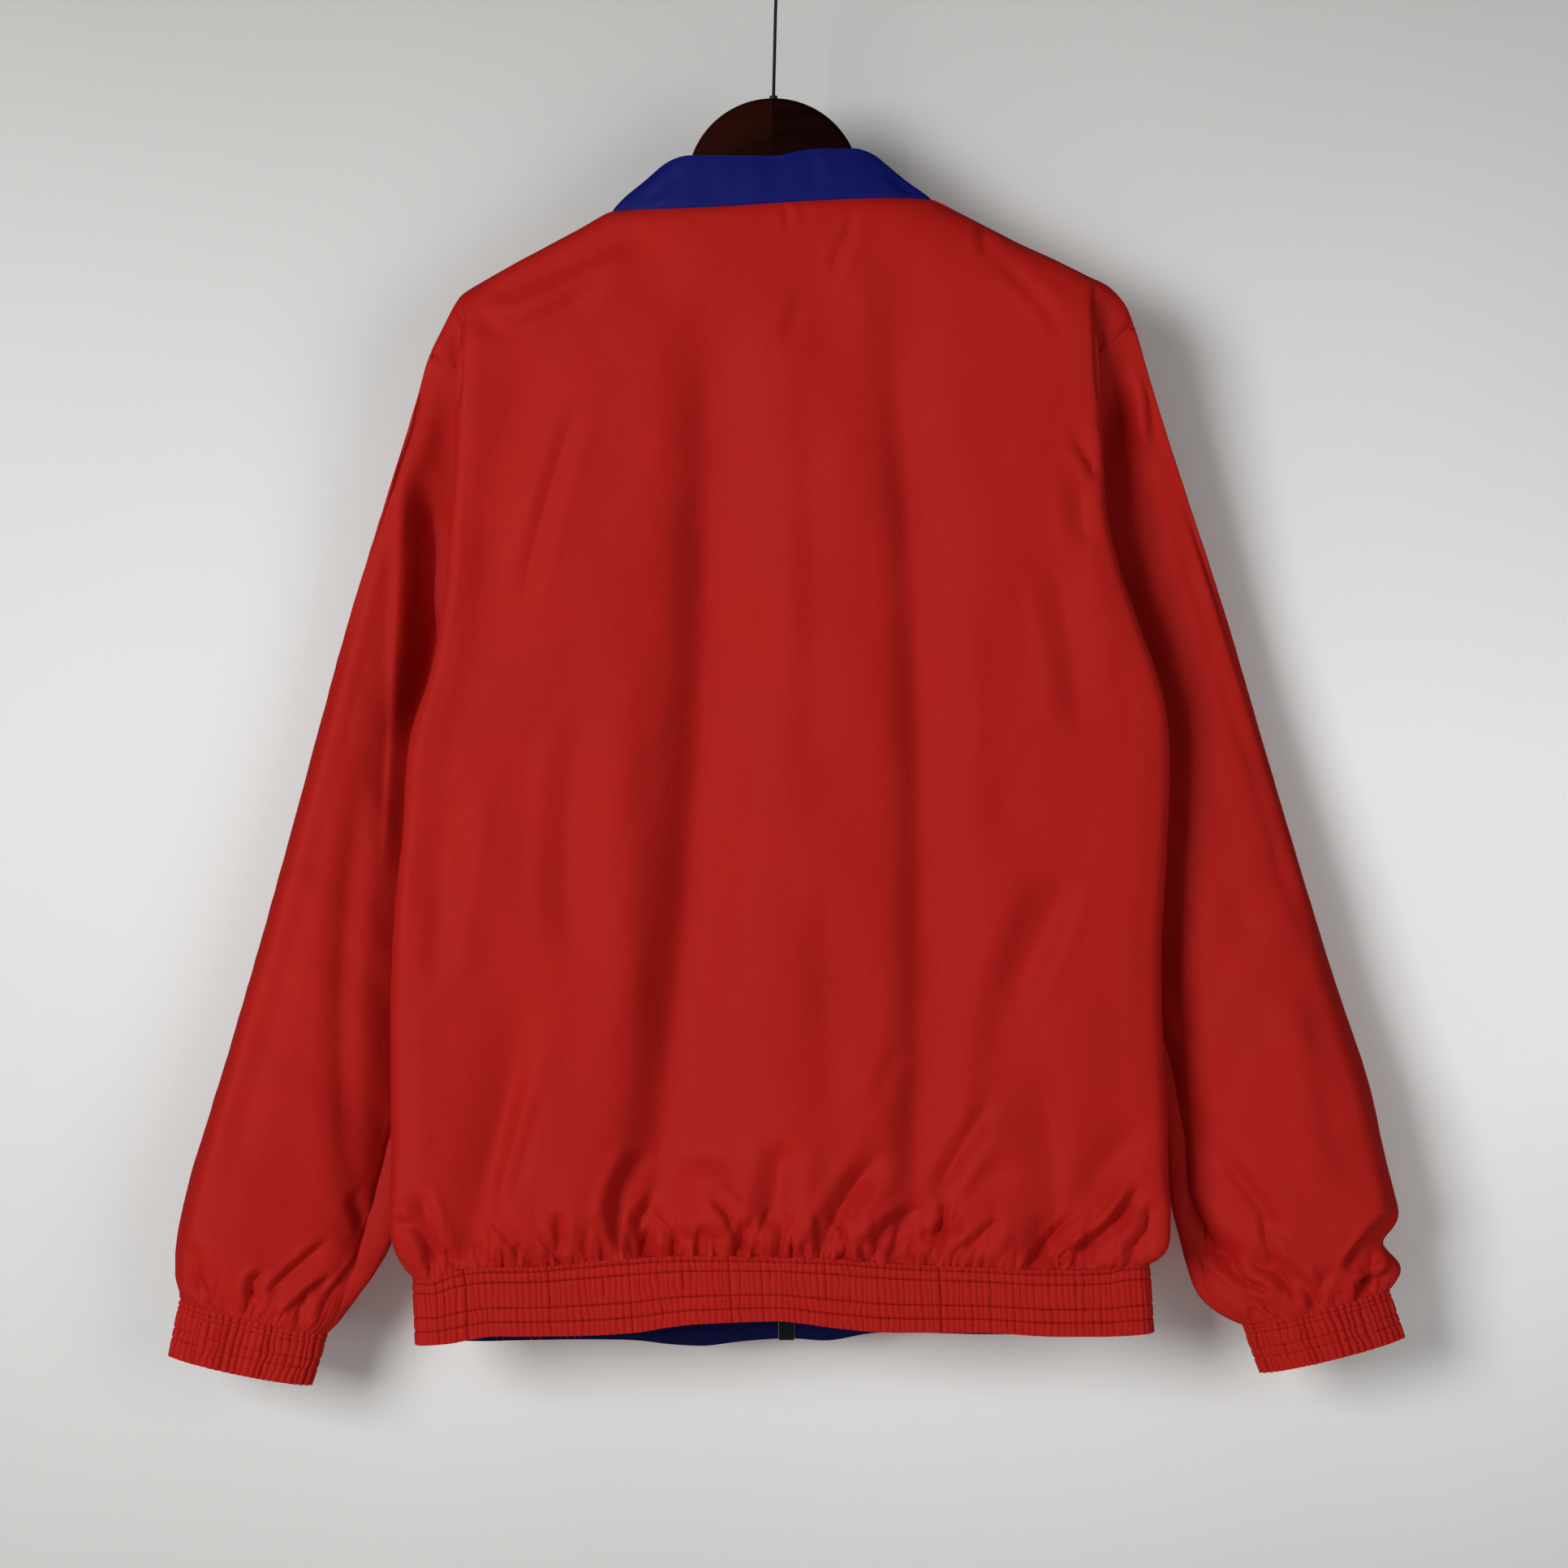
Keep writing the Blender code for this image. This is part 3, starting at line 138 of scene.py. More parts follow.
ROWS_BELOW = (0, 0.03, 0.075, 0.13, 0.20, 0.29, 0.40, 0.52, 0.66, 0.82, 1.0)
ROWS_ABOVE = (0.05, 0.13, 0.26, 0.39, 0.52, 0.64, 0.75, 0.84, 0.91, 0.955, 0.985, 1.0)
SHEET_ROWS = ROWS_BELOW + tuple(1 + share for share in ROWS_ABOVE)
FRONT_ACROSS = 15
FRONT_SHOULDER = {"left": (0, 1, 2, 3, 4, 5, 7, 9, 11, 13),
                  "right": (42, 41, 40, 39, 38, 37, 35, 33, 30, 28)}
SLEEVE_FAN = (0, 0.05, 0.14, 0.3, 0.55)         # rings between the armhole and the sleeve's table
SLEEVE_STEPS = (0, 0.6, 1.2, 1.8, 2.4, 3, 3.6, 4.3, 5, 6, 7, 8)

# Seeds of the uneven forms: a front's pleats and waves, a sleeve's waves and gathers.
SEEDS = {"left": (17, 31, 41, 51), "right": (23, 37, 43, 53)}

# Large soft folds, as in the solids: three points down the middle, widths, depth.
FOLD_COLUMNS = ("x1", "z1", "x2", "z2", "x3", "z3", "left", "right", "deep", "power")
BACK_FOLDS = [
    (-41, -235, -50, -597, -98, -960, 20, 38, 20.0, 2),
    (70, -205, 96, -570, 84, -940, 15, 27, 12.5, 2),
    (-150, -285, -178, -400, -192, -540, 22, 28, 5.5, 2),
    (-92, -470, -94, -620, -92, -745, 20, 14, -4.5, 2),
    (-160, -700, -176, -800, -206, -905, 18, 11, 9.5, 2),
    (178, -620, 150, -710, 140, -800, 15, 24, 6.5, 2),
    (168, -742, 178, -815, 172, -900, 18, 10, 7.0, 2),
    (-208, -520, -218, -590, -228, -650, 14, 14, 3.0, 2),
    (136, -450, 145, -530, 152, -620, 13, 20, 2.2, 2),
    (240, -780, 203, -830, 156, -888, 13, 12, 7.5, 2),
    (158, -806, 110, -845, 50, -882, 12, 12, 6.0, 2),
]
# Small creases of the back, from the shoulders to the gathers over the hem band.
BACK_CREASES = [
    (-125, -324, -146, -389, -163, -457, 5, 7, 2.2, 1.4),
    (-155, -758, -165, -795, -178, -841, 7, 5, -1.7, 1.6),
    (186, -626, 172, -668, 150, -712, 13, 9, 3.4, 1.8),
    (-203, -258, -202, -288, -204, -330, 8, 2.4, 5.2, 2),
    (207, -246, 208, -280, 212, -334, 2.4, 9, 5.2, 2),
    (190, -342, 201, -358, 209, -373, 4, 6, 3.0, 1.4),
    (-196, -560, -212, -640, -214, -700, 12, 10, 2.4, 1.9),
    (20, -300, 26, -420, 22, -560, 12, 16, 2.2, 2),
    (-120, -520, -132, -600, -128, -680, 10, 14, 2.6, 1.9),
    (178, -420, 190, -480, 196, -540, 9, 12, 2.8, 1.8),
    (40, -620, 34, -700, 38, -790, 11, 16, 2.0, 2),
    (195, -373, 197, -394, 199, -415, 7, 6, 2.2, 1.8),
    (-80, -210, -121, -229, -197, -264, 7, 9, 2.6, 1.6),
    (-197, -258, -160, -275, -100, -238, 6, 8, 2, 1.6),
    (134, -207, 135, -217, 137, -229, 4, 5, 1.6, 1.6),
    (136, -228, 162, -251, 186, -280, 3, 5, 1.5, 1.4),
    (54, -203, 44, -223, 35, -241, 3, 5, 1.6, 1.5),
    (19, -259, 13, -270, 6, -285, 4, 6, 0.9, 1.7),
    (7, -197, 8, -203, 10, -209, 2.5, 3, 1, 1.6),
    (20, -197, 20, -200, 21, -204, 2.5, 3, 0.8, 1.6),
    (-242, -857, -228, -853, -217, -883, 4, 5, 2.2, 1.5),
    (-228, -828, -220, -852, -212, -878, 5, 5, 2.6, 1.5),
    (-137, -841, -137, -856, -137, -872, 4, 5, 2, 1.5),
    (-80, -805, -98, -831, -98, -870, 6, 7, 4.2, 1.4),
    (-73, -834, -87, -853, -82, -874, 5, 5, 3, 1.4),
    (-46, -808, -45, -834, -44, -860, 18, 18, -3, 2),
    (-12, -844, -18, -857, -22, -870, 4, 5, 2.2, 1.5),
    (6, -795, 2, -826, -2, -860, 9, 10, 3, 1.8),
    (74, -800, 43, -841, 30, -872, 7, 8, 4.2, 1.4),
    (82, -737, 74, -753, 66, -770, 5, 6, 1.2, 1.6),
    (100, -839, 75, -852, 63, -867, 5, 6, 3.2, 1.4),
    (141, -771, 123, -800, 102, -837, 6, 7, 3.2, 1.5),
    (123, -847, 110, -854, 97, -865, 4, 5, 2.2, 1.5),
    (147, -847, 135, -856, 123, -870, 4, 5, 2.2, 1.5),
    (240, -834, 239, -853, 222, -873, 5, 6, 3.8, 1.4),
    (237, -822, 215, -853, 186, -873, 4, 9, 4.6, 1.4),
]
FRONT_FOLDS = [
    (-120, -330, -128, -560, -112, -850, 30, 24, -8.0, 2),
    (-62, -420, -66, -620, -60, -868, 18, 26, -5.0, 2),
    (70, -380, 80, -600, 66, -860, 26, 18, -6.0, 2),
    (140, -340, 150, -560, 146, -840, 24, 30, -8.0, 2),
]
FRONT_CREASES = [
    (-160, -300, -130, -380, -96, -470, 6, 8, 2.4, 1.5),
    (-186, -330, -168, -400, -150, -455, 5, 7, 2.0, 1.5),
    (-150, -760, -140, -810, -128, -872, 7, 6, 3.6, 1.5),
    (-96, -800, -84, -838, -86, -884, 6, 5, 3.2, 1.4),
    (-40, -820, -34, -850, -38, -886, 5, 6, 2.6, 1.5),
    (-196, -800, -184, -838, -180, -880, 6, 6, 3.0, 1.5),
    (34, -790, 40, -838, 36, -886, 6, 6, 3.0, 1.5),
    (98, -770, 90, -820, 94, -876, 6, 7, 3.6, 1.4),
    (158, -300, 132, -370, 104, -450, 7, 6, 2.4, 1.5),
    (188, -340, 176, -396, 160, -450, 6, 6, 1.8, 1.5),
    (150, -800, 160, -840, 152, -880, 5, 6, 3.0, 1.5),
    (206, -820, 196, -846, 190, -878, 5, 5, 2.6, 1.5),
    (60, -300, 52, -360, 56, -430, 8, 8, 1.8, 1.8),
    (-64, -310, -56, -370, -60, -440, 8, 8, 1.8, 1.8),
]
SLEEVE_CREASES = {
    "left": [
        (-240, -370, -277, -535, -362, -880, 13, 70, 8.0, 2),
        (-238, -345, -247, -470, -253, -640, 3.5, 9, -1.8, 2),
        (-265, -534, -281, -692, -270, -840, 10, 13, 6, 2),
        (-236, -360, -226, -430, -238, -540, 9, 8, 8, 1.8),
        (-318, -640, -336, -730, -352, -815, 8, 14, 2.6, 2),
        (-371, -866, -372, -884, -371, -902, 4, 5, 2.5, 1.5),
        (-326, -884, -337, -892, -334, -910, 3, 5, 3.8, 1.3),
        (-286, -864, -307, -880, -329, -901, 3, 8, 3.4, 1.3),
        (-284, -890, -301, -900, -316, -914, 3, 7, 4.0, 1.4),
        (-262, -880, -280, -897, -298, -917, 3, 6, 3.0, 1.4),
        (-273, -834, -267, -847, -259, -860, 5, 6, 2.6, 1.5),
    ],
    "right": [
        (262, -366, 306, -518, 358, -690, 5, 2.6, -2.6, 1.5),
        (266, -372, 310, -521, 361, -690, 2.6, 6, 2.2, 2),
        (239, -302, 240, -326, 241, -352, 9, 3.5, -3.2, 1.6),
        (231, -288, 222, -300, 214, -312, 4, 5, 3.4, 1.5),
        (224, -268, 219, -282, 216, -300, 4, 4, 2.6, 1.5),
        (262, -420, 286, -560, 318, -720, 16, 14, 3.4, 2),
        (330, -690, 342, -760, 352, -830, 12, 10, -3.0, 2),
        (288, -808, 310, -836, 333, -864, 4, 5.5, 2.6, 1.4),
        (315, -846, 319, -864, 325, -884, 3.2, 4.5, 3.0, 1.4),
        (300, -880, 324, -886, 341, -903, 4.5, 8, 4.8, 1.5),
        (286, -880, 303, -891, 324, -898, 3, 5, 3.2, 1.4),
        (258, -838, 276, -868, 306, -882, 5, 9, 5.6, 1.6),
        (334, -880, 345, -896, 352, -911, 3, 4, 2.0, 1.4),
        (404, -849, 384, -861, 369, -886, 3.5, 9, 5.4, 1.5),
        (403, -883, 389, -890, 374, -895, 3, 7, 4.4, 1.4),
    ],
}
SLEEVE_FRONT_CREASES = {
    "left": [
        (-250, -420, -282, -560, -320, -700, 9, 11, 4.0, 1.8),
        (-330, -700, -352, -790, -366, -860, 8, 7, 3.4, 1.6),
        (-236, -640, -262, -665, -300, -672, 7, 6, 3.2, 1.5),
        (-258, -780, -280, -812, -320, -828, 6, 7, 3.0, 1.5),
        (-350, -868, -340, -888, -345, -912, 5, 5, 2.8, 1.5),
        (-300, -884, -306, -902, -318, -918, 5, 5, 2.8, 1.5),
    ],
    "right": [
        (262, -410, 296, -560, 330, -690, 11, 9, 4.0, 1.8),
        (350, -690, 368, -780, 386, -850, 7, 8, 3.4, 1.6),
        (262, -640, 290, -672, 326, -684, 7, 6, 3.2, 1.5),
        (282, -780, 312, -806, 344, -818, 6, 7, 3.0, 1.5),
        (372, -860, 360, -882, 364, -906, 5, 5, 2.8, 1.5),
        (318, -884, 326, -902, 338, -914, 5, 5, 2.8, 1.5),
    ],
}
# How deep each sleeve is tucked in beside the body's edge, and how far over that reaches.
TUCK_COLUMNS = ("z", "left", "right")
TUCKS = [
    (-910, 0, 0), (-870, 3, 3), (-750, 5, 2), (-620, 8, 3), (-560, 11, 5), (-510, 15, 8),
    (-440, 16, 14), (-390, 12, 18), (-340, 5, 15), (-300, 0, 4), (-270, 0, 0),
]
TUCK_REACH = {"left": 28.0, "right": 15.0}
SLEEVE_TILT = {"left": 30.0, "right": 19.0}     # the inner side lies deeper than the outer side
SOFT_FOLD_WIDTH = 9                             # wider rows of the sleeves' tables are soft folds
CREASE_STRENGTH = 1.45                          # the photo's creases are made this much deeper
COLLAR_CREASES = [
    (-62, -172, -70, -184, -84, -194, 3, 4, 1.0, 1.5),
    (30, -166, 26, -176, 28, -188, 5, 6, 0.7, 1.8),
    (72, -174, 80, -182, 92, -190, 3, 4, 1.0, 1.5),
]
HANGER = [                                      # x, top and underside of the wooden bar
    (-197, -262, -281), (-187, -251, -280.5),
    (-174.5, -240, -274.6), (-150.8, -227, -263.5), (-126.8, -214.5, -252.2), (-103.4, -203, -243.6),
    (-90, -204.5, -239.3), (-66, -203, -231.5), (-40, -200, -223), (0, -199, -219), (40, -200, -223),
    (70, -199.5, -230.9), (90, -198, -236.1), (102, -195, -239.3), (128.3, -208, -247.2),
    (156.8, -222, -258), (180.9, -233, -267.2), (195, -244, -271), (203, -252, -268),
]
HEAD_RADIUS, HEAD_Z, HEAD_CUT_Z, HANGER_THICK = 56.0, -182.0, -212.0, 13.0
FERRULE_RADIUS, FERRULE_TALL, FERRULE_Z = 2.6, 3.5, -125.7
JOINT_X = -0.4                                  # where the two halves of the wood meet


# ---- curves -------------------------------------------------------------------------------------

def column(names, rows, name):
    return np.array([row[names.index(name)] for row in rows], dtype=float)


def between(start, leaving, end, arriving, share):
    s2, s3 = share * share, share ** 3
    return (start * (2 * s3 - 3 * s2 + 1) + leaving * (s3 - 2 * s2 + share)
            + end * (3 * s2 - 2 * s3) + arriving * (s3 - s2))


def smooth(stations, values, at):
    """A smooth curve through a table's values that never overshoots them."""
    stations, values = np.asarray(stations, float), np.asarray(values, float)
    steps = np.diff(stations)
    slopes = np.diff(values) / steps
    tangents = np.concatenate(([slopes[0]], np.zeros(len(slopes) - 1), [slopes[-1]]))
    for i in range(1, len(slopes)):
        if slopes[i - 1] * slopes[i] > 0:
            tangents[i] = 2 * slopes[i - 1] * slopes[i] / (slopes[i - 1] + slopes[i])
    at = np.clip(at, stations[0], stations[-1])
    k = np.clip(np.searchsorted(stations, at) - 1, 0, len(steps) - 1)
    share = (at - stations[k]) / steps[k]
    return between(values[k], tangents[k] * steps[k], values[k + 1], tangents[k + 1] * steps[k], share)


def look_up(names, rows, key, name, at):
    return smooth(column(names, rows, key), column(names, rows, name), at)


def ease(share):
    share = np.clip(share, 0.0, 1.0)
    return share * share * (3 - 2 * share)


def unit(vector):
    return vector / np.linalg.norm(vector)


def run(line):
    """How far along a line of points each point lies."""
    return np.concatenate(([0.0], np.cumsum(np.linalg.norm(np.diff(line, axis=0), axis=1))))


# ---- the middle of each cloth piece, as a coarse grid -------------------------------------------

def top_point(index):
    x = look_up(TOP_COLUMNS, TOP_EDGE, "column", "x", index)
    z = look_up(TOP_COLUMNS, TOP_EDGE, "column", "z", index)
    if index in (0, LAST):
        return np.array((x, 1.0, z))
    middle = (NECK_LEFT + NECK_RIGHT) / 2
    across = abs(index - middle) / (NECK_RIGHT - middle)
    return np.array((x, -14.0 * (1 - min(across, 1.0) ** 4), z))


def on_chords(values):
    straight = list(values)
    for side in SIGN:
        picks = sorted(FRONT_SHOULDER[side])
        for low, high in zip(picks, picks[1:]):
            for i in range(low + 1, high):
                share = (i - low) / (high - low)
                straight[i] = values[low] * (1 - share) + values[high] * share
    return straight


def armhole_point(side, share, face):
    x = look_up(ARMHOLE_COLUMNS, ARMHOLE, "share", side + "_x", share)
    y = look_up(ARMHOLE_COLUMNS, ARMHOLE, "share", face + "_y", share)
    top = top_point(0 if side == "left" else LAST)[2]
    return np.array((x, y, UNDERARM_Z + (top - UNDERARM_Z) * share))


def side_edge(side, z):
    return look_up(EDGE_COLUMNS, EDGES, "z", side, z)


def hem_end(side):
    return HEM_BACK[0 if side == "left" else -1][1]


def body_side(side, row):
    """The side seam below the underarm, the armhole above it."""
    if row >= 1:
        return armhole_point(side, row - 1, "back")
    z = row_height(row, hem_end(side), None)
    x = side_edge(side, z) - SIGN[side] * look_up(SIDE_SEAM_COLUMNS, SIDE_SEAM, "z", "inside", z)
    corner = armhole_point(side, 0.0, "back")[0] - side_edge(side, UNDERARM_Z) + SIGN[side] * SIDE_SEAM[-1][1]
    x += corner * ease((z - UNDERARM_Z + 60) / 60)
    return np.array((x, look_up(SIDE_SEAM_COLUMNS, SIDE_SEAM, "z", "depth", z), z))


def row_height(row, hem, top):
    if row <= 1:
        return hem + (UNDERARM_Z - hem) * row
    return UNDERARM_Z + (top - UNDERARM_Z) * (row - 1)


def rolled_edge(side, place, z, seam):
    edge = side_edge(side, z)
    radius = look_up(EDGE_COLUMNS, EDGES, "z", "radius", z)
    inward = -SIGN[side]
    if place >= 3:
        turn = math.radians(45 * (5 - place))
        return (edge + inward * 1.6 * radius * (1 - math.sin(turn)),
                BACK_PLANE + radius * (1 - math.cos(turn)))
    start = np.array((edge, BACK_PLANE + radius))
    reach = np.linalg.norm(seam[:2] - start)
    return between(seam[:2], np.array((-0.3 * inward, -1.0)) * 0.8 * reach,
                   start, np.array((0.0, -1.0)) * 0.8 * reach, place / 3)


def back_sheet():
    tops = on_chords([top_point(i) for i in range(LAST + 1)])
    flats = [(top[0] - tops[SIDE][0]) / (tops[LAST - SIDE][0] - tops[SIDE][0]) for top in tops]
    sheet = []
    for row in SHEET_ROWS:
        points = []
        blend = max((row - 1.9) / 0.1, 0.0) ** 2
        for i in range(LAST + 1):
            side = "left" if i < LAST / 2 else "right"
            place = min(i, LAST - i)
            if place == 0:
                points.append(body_side(side, row))
                continue
            hem_x = side_edge(side, hem_end(side))
            if place > SIDE:
                hem_x = HEM_LEFT + HEM_ACROSS * flats[i]
            z = row_height(row, look_up(HEM_COLUMNS, HEM_BACK, "x", "seam", hem_x), tops[i][2])
            if place < SIDE:
                x, y = rolled_edge(side, place, z, body_side(side, row))
            else:
                low, _ = rolled_edge("left", SIDE, z, None)
                high, _ = rolled_edge("right", SIDE, z, None)
                x, y = low + (high - low) * flats[i], BACK_PLANE
            if row > 1:
                near = min(max(1 - (tops[i][2] - z) / SHOULDER_ROLL, 0.0), 1.0)
                y += (tops[i][1] - y) * (1 - math.sqrt(1 - near * near))
                x += (tops[i][0] - x) * blend
            points.append(np.array((x, y, z)))
        sheet.append(points)
    return np.array(sheet)


def front_top(side, j):
    shoulder = FRONT_SHOULDER[side]
    if j < len(shoulder):
        return top_point(shoulder[j])
    corner = top_point(shoulder[-1])
    turn = math.radians(90.0 * (j - len(shoulder) + 1) / (FRONT_ACROSS - len(shoulder) + 1))
    end_x = SIGN[side] * ZIP_OPENING_HALF
    return np.array((end_x + (corner[0] - end_x) * math.cos(turn),
                     corner[1] + (NECK_FRONT[0] - corner[1]) * math.sin(turn),
                     corner[2] + (NECK_FRONT[1] - corner[2]) * math.sin(turn) ** 2.2))


def front_sheet(side):
    sheet = []
    for row in SHEET_ROWS:
        seam = armhole_point(side, row - 1, "front") if row > 1 else body_side(side, row)
        points = [seam]
        for j in range(1, FRONT_ACROSS + 1):
            across = math.cos(math.radians(90.0 * j / FRONT_ACROSS))
            top = front_top(side, j)
            hem_edge = ZIP_SHIFT + SIGN[side] * ZIP_OPENING_HALF
            hem_x = hem_edge + (body_side(side, 0)[0] - hem_edge) * across
            z = row_height(row, look_up(HEM_COLUMNS, HEM_FRONT, "x", "seam", hem_x), top[2])
            zip_x = ZIP_SHIFT * (z - NECK_FRONT[1]) / (ZIP_FOOT_Z - NECK_FRONT[1])
            edge = zip_x + SIGN[side] * ZIP_OPENING_HALF
            x = edge + (seam[0] - edge) * across
            if row > 1:
                share = min(max(j - 5, 0) / 4, 1.0)
                late, early = max((row - 1.9) / 0.1, 0.0) ** 2, ease(row - 1)
                x += (top[0] - x) * (late * (1 - share) + early * share)
            out = math.sqrt(1 - across ** 2.3)
            y = seam[1] + (look_up(FRONT_COLUMNS, FRONT_DEPTH, "z", "depth", z) - seam[1]) * out
            if row > 1:
                drop = top[2] - z
                near = min(max(1 - drop / CHEST_ROLL, 0.0), 1.0)
                roll = CHEST_ROLL_DEPTH * math.sqrt(1 - near * near)
                roll *= min(0.75 + 0.05 * j, 1.0, (FRONT_ACROSS - j) / 6)
                y = top[1] + roll + (y - top[1] - roll) * (1 - math.exp(-drop / CHEST_FILL))
            points.append(np.array((x, y, z)))
        sheet.append(points)
    return np.array(sheet)


def armhole_ring(side):
    shares = list(ROWS_ABOVE[:-1])
    back = [armhole_point(side, share, "back") for share in reversed(shares)]
    front = [armhole_point(side, share, "front") for share in shares]
    ring = [armhole_point(side, 1.0, "back")] + back + [armhole_point(side, 0.0, "back")] + front
    low = len(back) + 1
    for step, clear in enumerate(UNDERARM_CLEAR):
        forward = 0.55 + 0.25 * np.array((step > 0, -2 * (step > 0)))
        for j, ahead in {low - step: forward[0], low + step: forward[1]}.items():
            ring[j] = ring[j] + np.array((SIGN[side] * (1.4 - ahead), ahead, -0.25)) * clear
    return ring


def sleeve_section(side, step, count):
    table = SLEEVES[side]
    rows = range(len(table))
    ox, oz, ix, iz, middle, half = (smooth(rows, column(SLEEVE_COLUMNS, table, name), step)
                                    for name in SLEEVE_COLUMNS)
    outer, inner = np.array((ox, middle, oz)), np.array((ix, middle, iz))
    turns = [2 * math.pi * j / count for j in range(count)]
    flat = 0.86 + 0.14 * abs(1 - step / 4) if step < 8 else 1.0
    return [(outer + inner) / 2 + (outer - inner) / 2 * math.cos(turn)
            + np.array((0.0, -half, 0.0)) * math.copysign(abs(math.sin(turn)) ** flat, math.sin(turn))
            for turn in turns]


def sleeve_sheet(side):
    start = armhole_ring(side)
    count = len(start)
    first = sleeve_section(side, 0, count)
    along = unit(np.mean(sleeve_section(side, 1, count), axis=0) - np.mean(first, axis=0))
    sheet = []
    for share in SLEEVE_FAN:
        ring = []
        for j in range(count):
            reach = np.linalg.norm(first[j] - start[j])
            turn = 2 * math.pi * j / count
            away, low = max(math.sin(turn), 0.0), max(-math.cos(turn), 0.0) ** 2
            leaving = unit(np.array((SIGN[side] * (0.25 + 0.35 * abs(math.sin(turn)) + 0.45 * low),
                                     0.1 + 0.55 * away, -0.95 + 0.3 * abs(math.sin(turn)))))
            ring.append(between(start[j], leaving * reach * 0.75, first[j], along * reach * 0.8, share))
        sheet.append(ring)
    sheet += [sleeve_section(side, step, count) for step in SLEEVE_STEPS]
    return np.array(sheet)


def collar_sheet():
    left = [front_top("left", j) for j in range(FRONT_ACROSS, 9, -1)]
    right = [front_top("right", j) for j in range(10, FRONT_ACROSS + 1)]
    back = [top_point(i) for i in range(NECK_LEFT, NECK_RIGHT + 1)]
    base = left + back + right
    corner_z = {"left": COLLAR_TOP[0][1], "right": COLLAR_TOP[-1][1]}
    top = []
    for k, point in enumerate(base):
        if len(left) <= k < len(left) + len(back):
            x = point[0] * COLLAR_NARROWS
            y = point[1] + COLLAR_LEAN * (1 - abs(x / 78) ** 4)
            top.append(np.array((x, y, look_up(COLLAR_COLUMNS, COLLAR_TOP, "x", "z", x))))
            continue
        side = "left" if k < len(left) else "right"
        corner = base[len(left)] if side == "left" else base[len(left) + len(back) - 1]
        share = (point[1] - corner[1]) / (NECK_FRONT[0] - corner[1])
        height = (corner_z[side] - corner[2]) * (1 - share) + COLLAR_FRONT_HEIGHT * share
        narrow = COLLAR_NARROWS + (1 - COLLAR_NARROWS) * share ** 3
        top.append(np.array((point[0] * narrow, point[1], point[2] + height)))
    sheet = []
    for share in (0, 1 / 3, 2 / 3, 1):
        belly = 1.5 * math.sin(math.pi * share)
        sheet.append([low + (high - low) * share + unit(np.array((low[0], low[1] - 15, 0.0))) * belly
                      for low, high in zip(base, top)])
    return np.array(sheet)


# ---- fine grids ---------------------------------------------------------------------------------

def along_curve(grid, knots, at):
    """Smooth curves through the rows of a grid, read at any stations."""
    steps = np.diff(knots)
    shape = (-1,) + (1,) * (grid.ndim - 1)
    slopes = np.diff(grid, axis=0) / steps.reshape(shape)
    before, after = steps[:-1].reshape(shape), steps[1:].reshape(shape)
    middle = (slopes[:-1] * after + slopes[1:] * before) / (before + after)
    tangents = np.concatenate((slopes[:1], middle, slopes[-1:]))
    k = np.clip(np.searchsorted(knots, at, side="right") - 1, 0, len(steps) - 1)
    share = ((at - knots[k]) / steps[k]).reshape(shape)
    wide = steps[k].reshape(shape)
    return between(grid[k], tangents[k] * wide, grid[k + 1], tangents[k + 1] * wide, share)


def even_count(length, step):
    return 2 * max(int(round(length / step / 2)), 1)


def graded(length, fine, coarse, reach):
    """Stations that start close together and spread out past the reach; an even number of steps."""
    places = [0.0]
    while places[-1] < length:
        places.append(places[-1] + fine + (coarse - fine) * float(ease((places[-1] - reach) / reach)))
    if len(places) % 2 == 0:
        places.append(places[-1] + coarse)
    return np.array(places) * length / places[-1]


def fine_grid(sheet, row_steps, column_step, closed=False, fine_end="low"):
    """The sheet on a fine grid, and each point's place on the cloth in millimetres.
    row_steps is the step by the gathered end, the step elsewhere, and how far the fine part reaches."""
    padded, pad = sheet, 0
    if closed:
        pad = 3
        padded = np.concatenate((sheet[:, -pad:], sheet, sheet[:, :pad + 1]), axis=1)
    across = np.linalg.norm(np.diff(padded, axis=1), axis=2).mean(axis=0)
    knots = np.concatenate(([0.0], np.cumsum(across)))
    start, end = knots[pad], knots[-1 - pad] if closed else knots[-1]
    count = even_count(end - start, column_step)
    at = np.linspace(start, end, count + 1)[:count if closed else count + 1]
    wide = along_curve(padded.transpose(1, 0, 2), knots, at).transpose(1, 0, 2)
    along = np.linalg.norm(np.diff(sheet, axis=0), axis=2).mean(axis=1)
    row_knots = np.concatenate(([0.0], np.cumsum(along)))
    rows = graded(row_knots[-1], *row_steps)
    if fine_end == "high":
        rows = (row_knots[-1] - rows)[::-1]
    grid = along_curve(wide, row_knots, rows)
    cloth = np.stack(np.meshgrid(at - start, rows), axis=2)
    return grid, cloth


def grid_normals(grid, closed, outward):
    """Directions out of the cloth."""
    if closed:
        right, left = np.roll(grid, -1, axis=1), np.roll(grid, 1, axis=1)
    else:
        right = np.concatenate((grid[:, 1:], 2 * grid[:, -1:] - grid[:, -2:-1]), axis=1)
        left = np.concatenate((2 * grid[:, :1] - grid[:, 1:2], grid[:, :-1]), axis=1)
    up = np.concatenate((grid[1:], 2 * grid[-1:] - grid[-2:-1]))
    down = np.concatenate((2 * grid[:1] - grid[1:2], grid[:-1]))
    normals = np.cross(right - left, up - down) * outward
    return normals / np.maximum(np.linalg.norm(normals, axis=2, keepdims=True), 1e-9)


